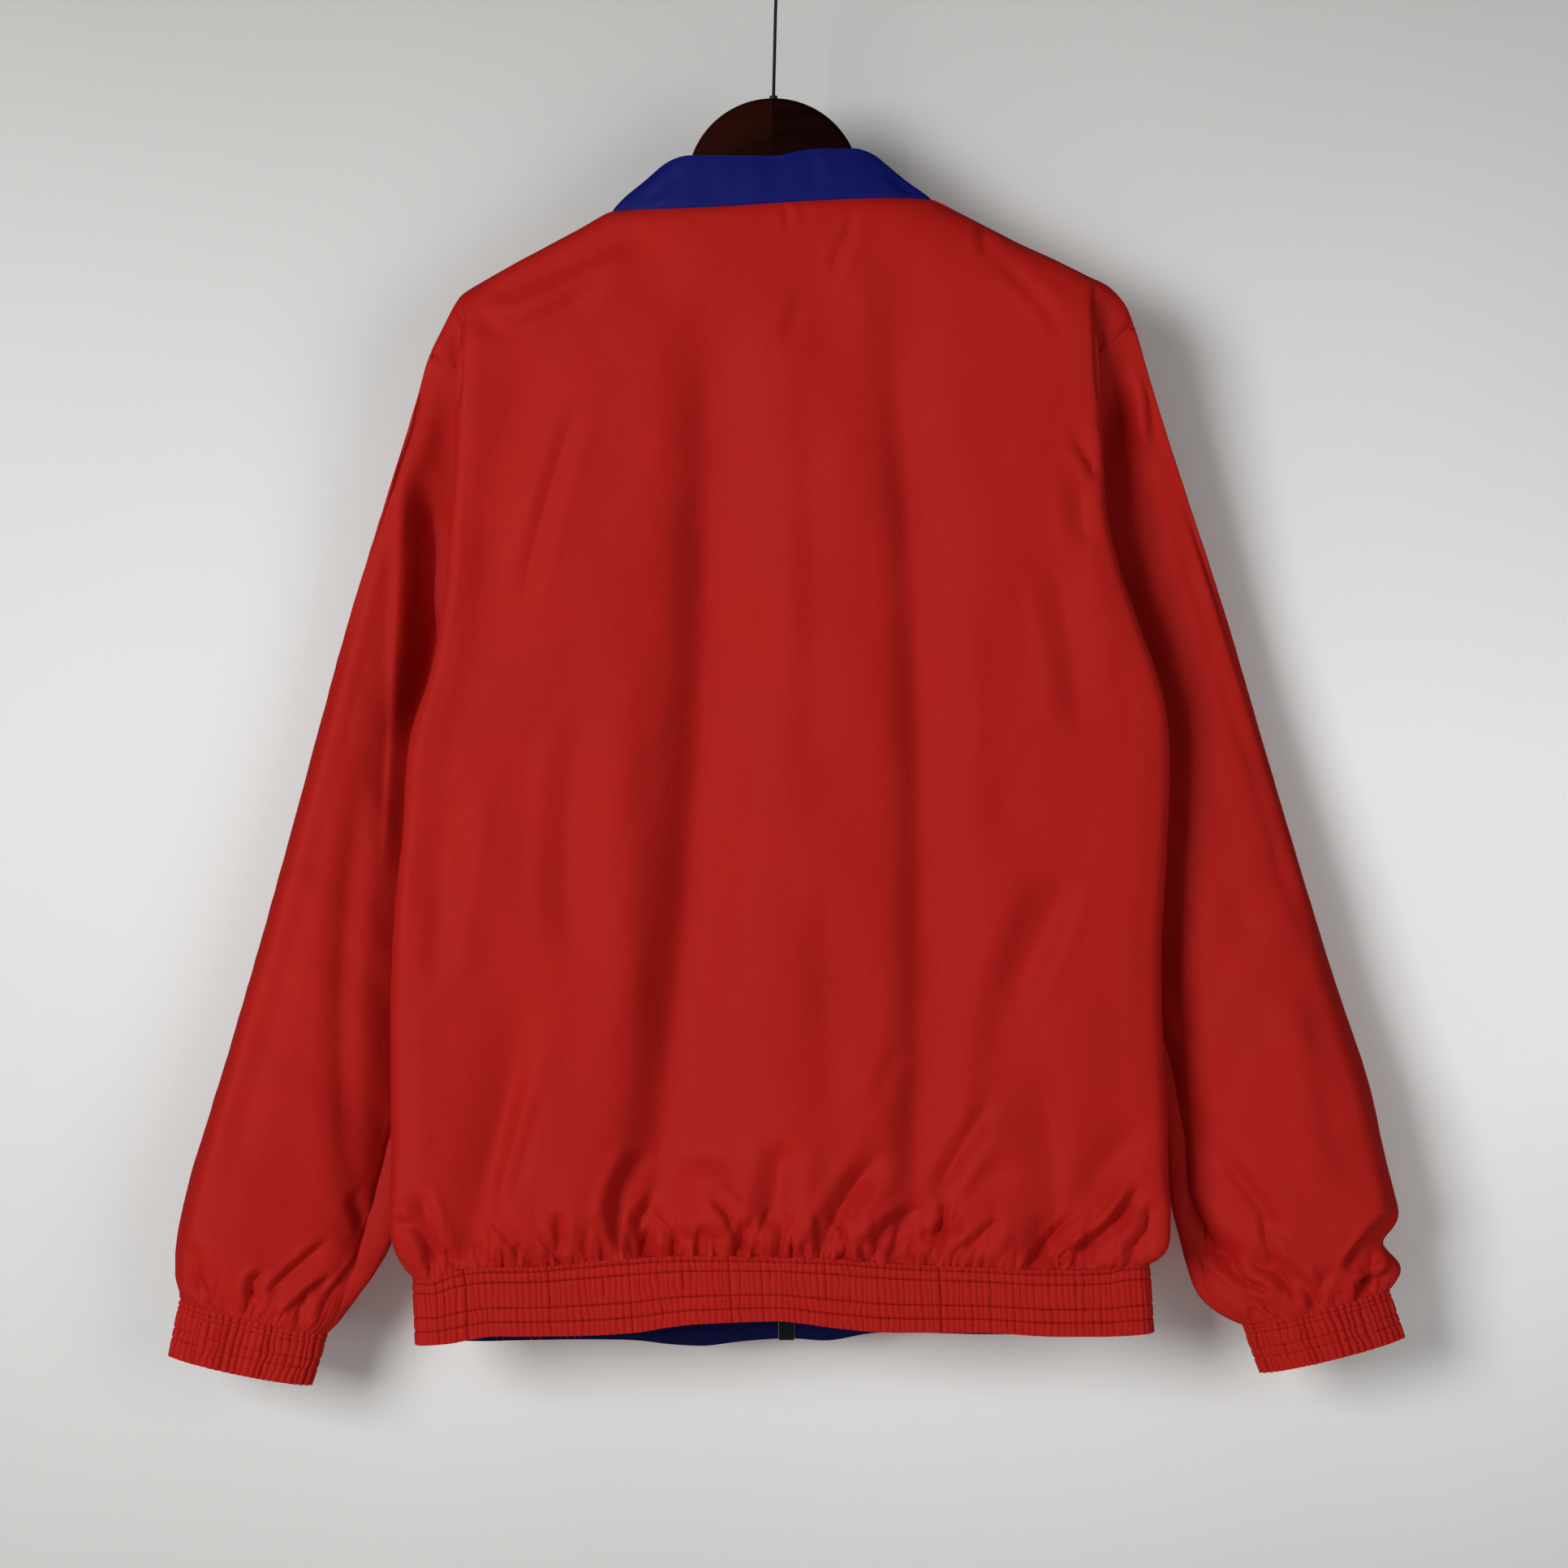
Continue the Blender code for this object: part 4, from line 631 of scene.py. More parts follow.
def tuck_under(grid, cloth, normals, edge, share=1.0):
    """Two more rows, which carry a sewn edge on under the piece that it is sewn to."""
    layers = [grid, cloth, normals]
    if edge in ("left", "right"):
        layers = [layer.swapaxes(0, 1) for layer in layers]
    if edge in ("high", "right"):
        layers = [layer[::-1] for layer in layers]
    grid, cloth, normals = layers
    ahead = grid[0] - grid[1]
    ahead /= np.linalg.norm(ahead, axis=-1, keepdims=True)
    past = cloth[0] - cloth[1]
    past = past / np.linalg.norm(past, axis=-1, keepdims=True)
    share = np.broadcast_to(share, len(grid[0]))[:, None]
    grid = np.concatenate(([grid[0] + (ahead * reach - normals[0] * dip) * share
                            for reach, dip in ((1.9, 1.5), (0.9, 1.1))], grid))
    cloth = np.concatenate(([cloth[0] + past * reach for reach in (1.9, 0.9)], cloth))
    if edge in ("high", "right"):
        grid, cloth = grid[::-1], cloth[::-1]
    if edge in ("left", "right"):
        grid, cloth = grid.swapaxes(0, 1), cloth.swapaxes(0, 1)
    return grid, cloth


def soften(grid, cloth, passes, hold):
    """Smooth the run of the rows, and leave the first one where it is sewn."""
    weight = ease(cloth[1:-1, :, 1:] / hold) * ease((cloth[..., 1].max() - cloth[1:-1, :, 1:]) / hold)
    for _ in range(passes):
        evened = (grid[:-2] + 2 * grid[1:-1] + grid[2:]) / 4
        grid[1:-1] += (evened - grid[1:-1]) * weight
    return grid


def from_edge(cloth, edge):
    """How far each point lies from an edge of the cut."""
    line = cloth[..., 1 if edge in ("low", "high") else 0]
    return line - line.min() if edge in ("left", "low") else line.max() - line


def seam_rest(cloth, reach, *edges):
    """0 at the sewn edges and 1 away from them, so that sewn pieces keep together."""
    rest = np.ones_like(cloth[..., 0])
    for edge in edges:
        rest = rest * ease(from_edge(cloth, edge) / reach)
    return rest


def seam_groove(cloth, *edges, depth=0.7, reach=2.0):
    """How far the cloth dips next to its sewn edges."""
    return depth * sum(np.exp(-from_edge(cloth, edge) / reach) for edge in edges)


def crease_depth(table, x, z):
    """Depth of a table of folds at places seen from behind or from in front."""
    total = np.zeros_like(x)
    for x1, z1, x2, z2, x3, z3, left, right, deep, power in table:
        start, middle, end = np.array((x1, z1)), np.array((x2, z2)), np.array((x3, z3))
        bend = 2 * (start - 2 * middle + end)
        lean = 4 * middle - 3 * start - end
        on_curve = lambda share: start + lean * share[:, None] + bend * share[:, None] ** 2
        path = on_curve(np.linspace(0, 1, 21))
        reach = 3 * max(left, right)
        near = ((x > path[:, 0].min() - reach) & (x < path[:, 0].max() + reach)
                & (z > path[:, 1].min() - reach) & (z < path[:, 1].max() + reach))
        if not near.any():
            continue
        place = np.stack((x[near], z[near]), axis=1)
        share = ((place[:, None] - path) ** 2).sum(axis=2).argmin(axis=1) / 20
        for _ in range(2):                              # slide to the nearest point of the curve
            along, gap = lean + 2 * bend * share[:, None], place - on_curve(share)
            share = np.clip(share + (gap * along).sum(axis=1) / (along ** 2).sum(axis=1), 0, 1)
        along, gap = lean + 2 * bend * share[:, None], place - on_curve(share)
        side = along[:, 0] * gap[:, 1] - along[:, 1] * gap[:, 0]
        if z3 < z1:
            side = -side
        wide = np.where(side > 0, left, right)
        ends = ease(share / 0.3) ** 0.7 * ease((1 - share) / 0.22) ** 0.7
        across = np.hypot(gap[:, 0], gap[:, 1]) / wide
        shape = np.exp(-across ** power)
        if power < 2:                                   # a crease pushes the cloth up on both sides
            shape -= 0.28 * np.exp(-((across - 1.9) / 0.75) ** 2)
        total[near] += deep * ends * shape
    return total


def ripple(x, z, seed, size, slant=0.0):
    """Soft uneven waves that are the same on every run."""
    rng = np.random.default_rng(seed)
    total = np.zeros_like(x)
    for _ in range(7):
        turn = rng.normal(slant, 0.5)
        length = size * rng.uniform(0.6, 1.7)
        phase = rng.uniform(0, 6.28)
        bend = 0.6 * np.sin(z / (size * 2.3) + rng.uniform(0, 6.28))
        total += np.sin((x * math.cos(turn) + z * math.sin(turn)) / length * 6.28 + bend + phase)
    return total / 7 ** 0.5


def puckers(seam, low, high, seed, tall=46.0):
    """Creases that fan up out of a gathered seam, uneven in place, lean, length and depth."""
    rng = np.random.default_rng(seed)
    table, x = [], low + 4
    while x < high - 4:
        length = tall * (0.22 + 0.78 * rng.uniform() ** 2.2)
        lean = rng.normal(0.7 * (2 * (x - low) / (high - low) - 1), 0.32)
        bend = rng.normal(0.0, 0.22)
        wide = 1.1 + length * rng.uniform(0.025, 0.055)
        z = float(seam(x))
        top = (x + lean * length, z + length)
        middle = (x + lean * length * 0.5 + bend * length * 0.5, z + length * 0.48)
        widths = sorted((wide, wide * rng.uniform(1.2, 3.0)), reverse=rng.uniform() < 0.4)
        table.append((*top, *middle, x, z - 6, *widths,
                      rng.uniform(0.55, 1.1) * (1.5 + length * 0.08), rng.uniform(1.1, 1.4)))
        x += rng.uniform(4.2, 11.0)
    return table


def gathers(x, above, pitch, seed):
    """The fine ripple of cloth that is sewn to an elastic band."""
    rng = np.random.default_rng(seed)
    posts = np.arange(x.min() - 9, x.max() + 18, 9.0)
    shift, strength = (smooth(posts, rng.uniform(low, high, len(posts)), x)
                       for low, high in ((-0.8, 0.8), (0.5, 1.2)))
    ribs = 0.62 - np.abs(np.sin(math.pi * x / pitch + shift)) ** 0.8
    wide = 0.5 - np.abs(np.sin(math.pi * x / (pitch * 2.7) + 2 * shift))
    return (2.4 * ribs * strength * np.exp(-(above / 7) ** 1.2)
            + 2.2 * wide * (1.7 - strength) * np.exp(-(above / 20) ** 1.4))


# ---- materials ----------------------------------------------------------------------------------

class Value:
    """A shader socket that Python's operators work on."""

    def __init__(self, paint, socket):
        self.paint, self.socket = paint, socket

    def math(self, operation, first, second):
        return self.paint.node("ShaderNodeMath", {"operation": operation}, {0: first, 1: second})

    def __add__(self, other):
        return self.math("ADD", self, other)

    def __sub__(self, other):
        return self.math("SUBTRACT", self, other)

    def __rsub__(self, other):
        return self.math("SUBTRACT", other, self)

    def __mul__(self, other):
        return self.math("MULTIPLY", self, other)

    __radd__, __rmul__ = __add__, __mul__


class Paint:
    """A material with one Principled shader, and a short way to add and link its nodes."""

    def __init__(self, name, colour, roughness, metallic=0.0, sheen=0.0, specular=0.5):
        self.material = bpy.data.materials.new(name)
        self.material.use_nodes = True
        self.tree = self.material.node_tree
        self.shader = self.tree.nodes["Principled BSDF"]
        for socket, value in (("Base Color", (*colour, 1.0)), ("Roughness", roughness),
                              ("Metallic", metallic), ("Sheen Weight", sheen),
                              ("Specular IOR Level", specular)):
            self.shader.inputs[socket].default_value = value

    def node(self, kind, settings=None, inputs=None, output=0):
        made = self.tree.nodes.new(kind)
        for name, value in (settings or {}).items():
            if name == "stops":
                for k, (place, colour) in enumerate(value):
                    stop = made.color_ramp.elements[k] if k < 2 else made.color_ramp.elements.new(place)
                    stop.position, stop.color = place, (*colour, 1.0)
            else:
                setattr(made, name, value)
        for name, value in (inputs or {}).items():
            self.put(made.inputs[name], value)
        return Value(self, made.outputs[output])

    def put(self, socket, value):
        if isinstance(value, Value):
            self.tree.links.new(value.socket, socket)
        elif isinstance(value, tuple) and len(value) == 3 and socket.type == "RGBA":
            socket.default_value = (*value, 1.0)
        else:
            socket.default_value = value

    def set(self, name, value):
        self.put(self.shader.inputs[name], value)

    def mix(self, factor, first, second):
        return self.node("ShaderNodeMix", {"data_type": "RGBA"}, {0: factor, 6: first, 7: second}, output=2)

    def place(self, scale=(1, 1, 1), source="Object", shift=(0, 0, 0)):
        coordinates = self.node("ShaderNodeTexCoord", output={"UV": 2, "Object": 3}[source])
        return self.node("ShaderNodeMapping", {}, {"Vector": coordinates, "Scale": scale, "Location": shift})

    def wave(self, direction, scale, more=None):
        return self.node("ShaderNodeTexWave", {"bands_direction": direction},
                         {"Vector": self.place(source="UV"), "Scale": scale, **(more or {})})

    def noise(self, scale, detail=3.0, roughness=0.5, vector=None):
        return self.node("ShaderNodeTexNoise", {}, {"Vector": vector or self.place(), "Scale": scale,
                                                    "Detail": detail, "Roughness": roughness})

    def bump(self, height, distance, strength=1.0, before=None):
        inputs = {"Height": height, "Distance": distance, "Strength": strength}
        if before:
            inputs["Normal"] = before
        return self.node("ShaderNodeBump", {}, inputs)


def woven(name, light, dark, roughness, crumple):
    """Light woven shell cloth: fine plain weave, faint slubs, small crumples, uneven colour."""
    paint = Paint(name, light, roughness, specular=0.12)
    weft, warp = (paint.wave(direction, 520.0, {"Distortion": 1.2, "Detail": 1.0, "Detail Scale": 2.0})
                  for direction in "YX")
    weave = weft * 0.5 + warp * 0.5
    slub = paint.noise(900.0, 2.0, 0.5, paint.place((1, 0.06, 1), "UV"))
    blotch = paint.noise(9.0, 4.0, 0.6)
    small = paint.noise(85.0, 3.0, 0.55)
    fine = paint.noise(260.0, 2.0, 0.5)
    shade = paint.mix(blotch * 0.9 + small * 0.2 - 0.1, dark, light)
    shade = paint.mix((weave + slub) * 0.12, shade, tuple(min(c * 1.4, 1.0) for c in light))
    paint.set("Base Color", shade)
    paint.set("Roughness", blotch * 0.12 + (roughness - 0.06))
    relief = paint.bump(small * 0.7 + fine * 0.3, crumple)
    paint.set("Normal", paint.bump(weave + slub * 0.6, 0.00005, 0.6, relief))
    return paint.material


def simple(name, colour, roughness, uneven=None, relief=None, tones=None, **more):
    """A plain finish, with noise in its roughness (scale, detail, span, low), relief (scale, height)
    and colour (scale, two tones)."""
    paint = Paint(name, colour, roughness, **more)
    if uneven:
        scale, detail, span, low = uneven
        paint.set("Roughness", paint.noise(scale, detail) * span + low)
    if relief:
        paint.set("Normal", paint.bump(paint.noise(relief[0]), relief[1]))
    if tones:
        paint.set("Base Color", paint.mix(paint.noise(tones[0]), *tones[1:]))
    return paint.material


def lacquered_wood():
    """Dark wood: streaks along the bar, a painted highlight that turns the left half lighter and redder away
    from the head's middle, and the joint of the two halves.
    """
    paint = Paint("dark_lacquered_wood", (0.010, 0.002, 0.001), 0.5, specular=0.03)
    grain = paint.noise(22.0, 6.0, 0.62, paint.place((0.35, 1.0, 5.0)))
    stops = [(0.35, (0.003, 0.0004, 0.0002)), (0.75, (0.012, 0.0016, 0.0006))]
    grain_and_painted_highlight = paint.node("ShaderNodeValToRGB", {"stops": stops}, {"Fac": grain})
    across = paint.node("ShaderNodeSeparateXYZ", {}, {"Vector": paint.place((1000, 1000, 1000))})
    left = paint.node("ShaderNodeMath", {"operation": "LESS_THAN"}, {0: across, 1: JOINT_X})
    from_head = paint.node("ShaderNodeVectorMath", {"operation": "DISTANCE"},
                           {0: paint.place((1000, 0, 1000)), 1: (-2.0, 0, HEAD_Z)}, output=1)
    band = paint.node("ShaderNodeMapRange", {"interpolation_type": "SMOOTHSTEP"},
                      {"Value": from_head, "From Min": 24.0, "From Max": 40.0, "To Min": 0.25, "To Max": 1.0})
    # painted highlight: the left half of the wood turns lighter and redder away from the head's middle,
    # standing in for light caught by the gloss
    grain_and_painted_highlight = paint.mix(left * band * 0.75, grain_and_painted_highlight, (0.022, 0.0034, 0.0010))
    joint = paint.node("ShaderNodeMath", {"operation": "COMPARE"}, {0: across, 1: JOINT_X, 2: 0.35})
    paint.set("Base Color", paint.mix(joint, grain_and_painted_highlight, (0.002, 0.0008, 0.0006)))
    paint.set("Roughness", paint.noise(40.0) * 0.18 + 0.34)
    paint.set("Normal", paint.bump(grain, 0.0003, 0.4))
    return paint.material


def zip_tape():
    """Black woven tape with ribs across it."""
    paint = Paint("zip_tape", (0.012, 0.012, 0.018), 0.75, sheen=0.1)
    paint.set("Normal", paint.bump(paint.wave("Y", 400.0), 0.0002))
    paint.set("Base Color", paint.mix(paint.noise(120.0), (0.009, 0.009, 0.014), (0.02, 0.02, 0.028)))
    return paint.material


MATERIALS = {
    "red": woven("red_shell_cloth", (0.43, 0.010, 0.0065), (0.35, 0.006, 0.004), 0.66, 0.0006),
    "blue": woven("blue_shell_cloth", (0.002, 0.006, 0.125), (0.0012, 0.0035, 0.095), 0.6, 0.0004),
    # painted shade: the facing's blue is a darker copy of the blue cloth, standing in for the shade that
    # falls inside the hem
    "facing_painted_shade": simple("blue_facing_painted_shade", (0.001, 0.0028, 0.052), 0.62, relief=(160.0, 0.0003), specular=0.1),
    # partly painted shade: the thread is a dark red, darkened further to stand in for the shade of the
    # grooves that the stitches lie in
    "thread": simple("dark_red_thread_and_painted_shade", (0.15, 0.005, 0.004), 0.75, relief=(2500.0, 0.0001), specular=0.1),
    "tape": zip_tape(),
    "teeth": simple("zip_teeth", (0.006, 0.006, 0.008), 0.45, uneven=(300.0, 3.0, 0.25, 0.35),
                    specular=0.12),
    "metal": simple("dark_metal", (0.06, 0.06, 0.065), 0.34, uneven=(400.0, 4.0, 0.25, 0.22),
                    tones=(60.0, (0.05, 0.05, 0.055), (0.09, 0.085, 0.085)), metallic=0.85),
    "wire": simple("black_wire", (0.012, 0.012, 0.013), 0.38, uneven=(500.0, 3.0, 0.2, 0.28),
                   metallic=0.5),
    "wood": lacquered_wood(),
}


# ---- from grids to pieces -----------------------------------------------------------------------

def link(name, data):
    held = bpy.data.objects.new(name, data)
    bpy.context.scene.collection.objects.link(held)
    return held


def deselect():
    bpy.ops.object.select_all(action="DESELECT")


def apply_place():
    bpy.ops.object.transform_apply(location=True, rotation=True, scale=True)


def round_off(degrees):
    bpy.ops.object.shade_smooth_by_angle(angle=math.radians(degrees))


def dress(piece, material):
    piece.data.materials.clear()
    piece.data.materials.append(MATERIALS[material])


def add_piece(name, points, faces, uvs, material, sharp=None):
    """A mesh piece from points in millimetres. uvs has one pair for each point."""
    mesh = bpy.data.meshes.new(name)
    mesh.from_pydata((np.asarray(points) * MM).tolist(), [], faces)
    mesh.materials.append(MATERIALS[material])
    layer = mesh.uv_layers.new(name="cloth")
    corners = np.empty(len(mesh.loops), dtype=np.int32)
    mesh.loops.foreach_get("vertex_index", corners)
    layer.data.foreach_set("uv", (np.asarray(uvs) * MM)[corners].astype(np.float32).ravel())
    piece = link(name, mesh)
    mesh.polygons.foreach_set("use_smooth", [True] * len(mesh.polygons))
    if sharp:
        deselect()
        piece.select_set(True)
        bpy.context.view_layer.objects.active = piece
        round_off(sharp)
    return piece


def finish_piece(piece, slot, *nodes, body="jacket"):
    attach(piece, body)
    if nodes:
        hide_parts(*nodes)
    return piece


def wall(name, grid, cloth, closed, outward, thickness, material):
    """A thin closed wall: a fine outer skin, an inner skin of half its fineness, and its edges."""
    normals = grid_normals(grid, closed, outward)
    outer = grid + normals * thickness / 2
    inner = (grid - normals * thickness / 2)[::2, ::2]
    points = np.concatenate((outer.reshape(-1, 3), inner.reshape(-1, 3)))
    uvs = np.concatenate((cloth.reshape(-1, 2), cloth[::2, ::2].reshape(-1, 2)))
    out = np.arange(outer[..., 0].size).reshape(outer.shape[:2])
    ins = out.size + np.arange(inner[..., 0].size).reshape(inner.shape[:2])
    if closed:
        out, ins = (np.concatenate((layer, layer[:, :1]), axis=1) for layer in (out, ins))
    quads = np.stack((out[:-1, :-1], out[:-1, 1:], out[1:, 1:], out[1:, :-1]), axis=2).reshape(-1, 4)
    backs = np.stack((ins[:-1, :-1], ins[1:, :-1], ins[1:, 1:], ins[:-1, 1:]), axis=2).reshape(-1, 4)
    faces = quads.tolist() + backs.tolist()
    edges = [(out[0], ins[0], 1), (out[-1], ins[-1], -1)]
    if not closed:
        edges += [(out[:, 0], ins[:, 0], -1), (out[:, -1], ins[:, -1], 1)]
    for fine, coarse, turn in edges:
        for k in range(len(coarse) - 1):
            a, b, c, low, high = fine[2 * k], fine[2 * k + 1], fine[2 * k + 2], coarse[k], coarse[k + 1]
            for face in ([a, low, b], [b, low, high], [b, high, c]):
                faces.append([int(v) for v in (face if turn > 0 else face[::-1])])
    if outward < 0:
        faces = [face[::-1] for face in faces]
    return add_piece(name, points, faces, uvs, material, sharp=50)


def grid_area(grid, closed):
    ring = np.concatenate((grid, grid[:, :1]), axis=1) if closed else grid
    diagonals = np.cross(ring[1:, 1:] - ring[:-1, :-1], ring[1:, :-1] - ring[:-1, 1:])
    return float(np.linalg.norm(diagonals, axis=2).sum() / 2) * MM * MM


def hung_piece(name, grid, cloth, closed, outward, thickness, material, node):
    """A wall of cloth that stands for a node. The flat size of what it shows is worked out but not used."""
    piece = wall(name, grid, cloth, closed, outward, thickness, material)
    width, length = (float(np.ptp(cloth[..., k])) * MM for k in (0, 1))
    area = grid_area(grid, closed)
    length = max(length, area / width)
    finish_piece(piece, "red_shell" if material == "red" else "blue_shell", node)


def make_back():
    grid, cloth = fine_grid(back_sheet(), (1.7, 5.2, 44), 1.2)
    normals = grid_normals(grid, False, 1.0)
    x, z = grid[..., 0], grid[..., 2]
    facing = ease((-normals[..., 1] - 0.25) / 0.6)
    seam = look_up(HEM_COLUMNS, HEM_BACK, "x", "seam", x)
    above = np.maximum(z - seam, 0.0)
    pinned = ease(above / 10) * 0.85 + 0.15 * ease(above / 3)
    depth = crease_depth(BACK_FOLDS, x, z) * facing * pinned
    near_hem = ease((-z - 750) / 70)
    depth += (CREASE_STRENGTH + 0.75 * near_hem) * crease_depth(BACK_CREASES, x, z) * facing * ease(above / 5)
    gathered = gathers(x, above, 4.1, 5) + crease_depth(puckers(
        lambda at: look_up(HEM_COLUMNS, HEM_BACK, "x", "seam", at), -226, 234, 8), x, z)
    depth += gathered * ease(above / 1.5) * (0.35 + 0.65 * facing)
    depth -= 7.0 * np.exp(-((z + 850) / 26) ** 2) * pinned * (0.4 + 0.6 * facing)
    depth += ripple(x, z, 11, 70, 0.2) * 0.9 * ease(above / 60)
    depth += ripple(x, z, 12, 30, 0.5) * 0.22
    depth *= seam_rest(cloth, 6.0, "left", "right", "high")
    depth += seam_groove(cloth, "left", "right", "high", "low")
    grid = grid - normals * depth[..., None]
    hung_piece("back_cloth", grid, cloth, False, 1.0, CLOTH, "red", "back")


def make_front(side):
    turn = SIGN[side]
    pleat_seed, wave_seed = SEEDS[side][:2]
    grid, cloth = fine_grid(front_sheet(side), (1.7, 4.6, 50), 1.5)
    normals = grid_normals(grid, False, turn)
    x, z = grid[..., 0], grid[..., 2]
    seam = look_up(HEM_COLUMNS, HEM_FRONT, "x", "seam", x)
    above = np.maximum(z - seam, 0.0)
    u = cloth[..., 0]
    inside = ease(u / 30) * ease((u.max() - u) / 25)
    depth = crease_depth(FRONT_FOLDS, x, z) * inside * ease(above / 14)
    depth += crease_depth(FRONT_CREASES, x, z) * inside * ease(above / 5)
    gathered = ease((abs(x - ZIP_SHIFT) - 95) / 30)
    pleats = puckers(lambda at: look_up(HEM_COLUMNS, HEM_FRONT, "x", "seam", at),
                     *sorted((turn * 100, turn * 225)), pleat_seed)
    depth += (gathers(x, above, 4.4, 17) + crease_depth(pleats, x, z)) * ease(above / 1.5) * gathered
    depth += ripple(x, z, wave_seed, 60, 0.3) * 0.7 * inside
    depth += ripple(x, z, 33, 26, 0.5) * 0.12
    depth *= seam_rest(cloth, 6.0, "left", "high")
    depth += seam_groove(cloth, "left", "high", "low")
    depth = np.minimum(depth, 0.4 + 0.4 * above)                # stays outside the facing
    grid = grid - normals * depth[..., None]
    grid, cloth = tuck_under(grid, cloth, grid_normals(grid, False, turn), "left")
    hung_piece("front_cloth_" + side, grid, cloth, False, turn, CLOTH, "red", "front_" + side)


def make_sleeve(side):
    turn = SIGN[side]
    wave_seed, gather_seed = SEEDS[side][2:]
    grid, cloth = fine_grid(sleeve_sheet(side), (1.6, 4.3, 45), 1.4, closed=True, fine_end="high")
    grid = soften(grid, cloth, 14, 16.0)
    normals = grid_normals(grid, True, turn)
    x, z = grid[..., 0], grid[..., 2]
    behind = ease((0.25 - normals[..., 1]) / 0.7)
    outer, inner = (pick(x, axis=1)[:, None] for pick in (np.min, np.max)[::int(-turn)])
    across = (x - outer) / (inner - outer)
    turned = ease((abs(normals[..., 1]) - 0.05) / 0.45)
    flank, rim = (turned * ease((abs(x - outer) - 1) / reach) for reach in (17, 5))
    below = from_edge(cloth, "high")
    start, end = ease((cloth[..., 1] - 4) / 30), ease(below / 10)
    widths = slice(FOLD_COLUMNS.index("left"), FOLD_COLUMNS.index("right") + 1)
    folds, creases = ([row for row in SLEEVE_CREASES[side] if (max(row[widths]) > SOFT_FOLD_WIDTH) == wide]
                      for wide in (True, False))
    depth = (crease_depth(folds, x, z) * flank + CREASE_STRENGTH * crease_depth(creases, x, z) * rim) * behind
    depth += crease_depth(SLEEVE_FRONT_CREASES[side], x, z) * (1 - behind) * rim
    depth += ripple(x, z, wave_seed, 55, 0.5) * 0.8 * start * flank
    depth += ripple(x, z, 45, 24, 0.6) * 0.14
    low = grid[-1][np.argsort(grid[-1, :, 0])]
    for face, share in ((61, behind), (71, 1 - behind)):
        pleats = puckers(lambda at: np.interp(at, low[:, 0], low[:, 2]), low[0, 0] + 3, low[-1, 0] - 3,
                         face + (side == "left"), 38.0)
        depth += crease_depth(pleats, x, z) * share * ease(below / 1.5)
    depth += gathers(cloth[..., 0], below, 4.3, gather_seed) * ease(below / 1.5) * 0.8
    depth *= start * 0.9 + 0.1
    depth += SLEEVE_TILT[side] * (across - 0.42) * behind * flank * start * ease(below / 60)
    beside = (x - side_edge(side, z)) * turn
    tuck = look_up(TUCK_COLUMNS, TUCKS, "z", side, z)
    tuck = tuck * np.exp(-(np.maximum(beside, 0) / TUCK_REACH[side]) ** 2.4)
    depth += tuck * behind * ease(cloth[..., 1] / 22) * ease((beside + 25) / 20)
    depth = depth * (0.25 + 0.75 * end) * seam_rest(cloth, 5.0, "low")
    depth += seam_groove(cloth, "low", "high")
    grid = grid - normals * depth[..., None]
    from_top = np.minimum(cloth[0, :, 0], cloth[0, :, 0].max() - cloth[0, :, 0])
    grid, cloth = tuck_under(grid, cloth, grid_normals(grid, True, turn), "low",
                             0.1 + 0.9 * ease((from_top - 14) / 22))
    hung_piece("sleeve_cloth_" + side, grid, cloth, True, turn, CLOTH, "red", "sleeve_" + side)


def make_collar():
    grid, cloth = fine_grid(collar_sheet(), (1.2, 1.2, 10), 1.5)
    normals = grid_normals(grid, False, 1.0)
    x, z = grid[..., 0], grid[..., 2]
    facing = ease((-normals[..., 1] - 0.1) / 0.5)
    depth = crease_depth(COLLAR_CREASES, x, z) * facing
    depth += ripple(x, z, 61, 34, 0.4) * 0.35
    depth = depth * seam_rest(cloth, 5.0, "low") + seam_groove(cloth, "low", depth=0.6, reach=1.6)
    grid = grid - normals * depth[..., None]
    grid, cloth = tuck_under(grid, cloth, grid_normals(grid, False, 1.0), "low")
    hung_piece("collar_cloth", grid, cloth, False, 1.0, CLOTH * 1.2, "blue", "collar")


# ---- elastic bands ------------------------------------------------------------------------------

def path_reader(points, closed):
    """A smooth path that is read at shares of its length, and its length."""
    points = np.array(list(points) + ([points[0]] if closed else []))
    knots = run(points)
    wrap = (lambda at: at % 1.0) if closed else (lambda at: np.clip(at, 0, 1))
    return lambda at: along_curve(points, knots, wrap(at) * knots[-1]), knots[-1]


def path_outward(path, closed, outward):
    ahead = np.roll(path, -1, axis=0) if closed else np.concatenate((path[1:], path[-1:]))
    behind = np.roll(path, 1, axis=0) if closed else np.concatenate((path[:1], path[:-1]))
    along = ahead - behind
    level = np.stack((along[:, 1], -along[:, 0], np.zeros(len(path))), axis=1) * outward
    return level / np.linalg.norm(level, axis=1)[:, None]


# Rows of stitches, as shares of the band's height.
BAND_STITCHES, CUFF_STITCHES = (0.035, 0.2, 0.58, 0.78), (0.06, 0.15, 0.47, 0.67)
RIB_COLUMNS = 6                                 # columns of the grid for each rib
THREAD, THREAD_STEP = 2.7, 2.9                  # length of a stitch, and from one to the next


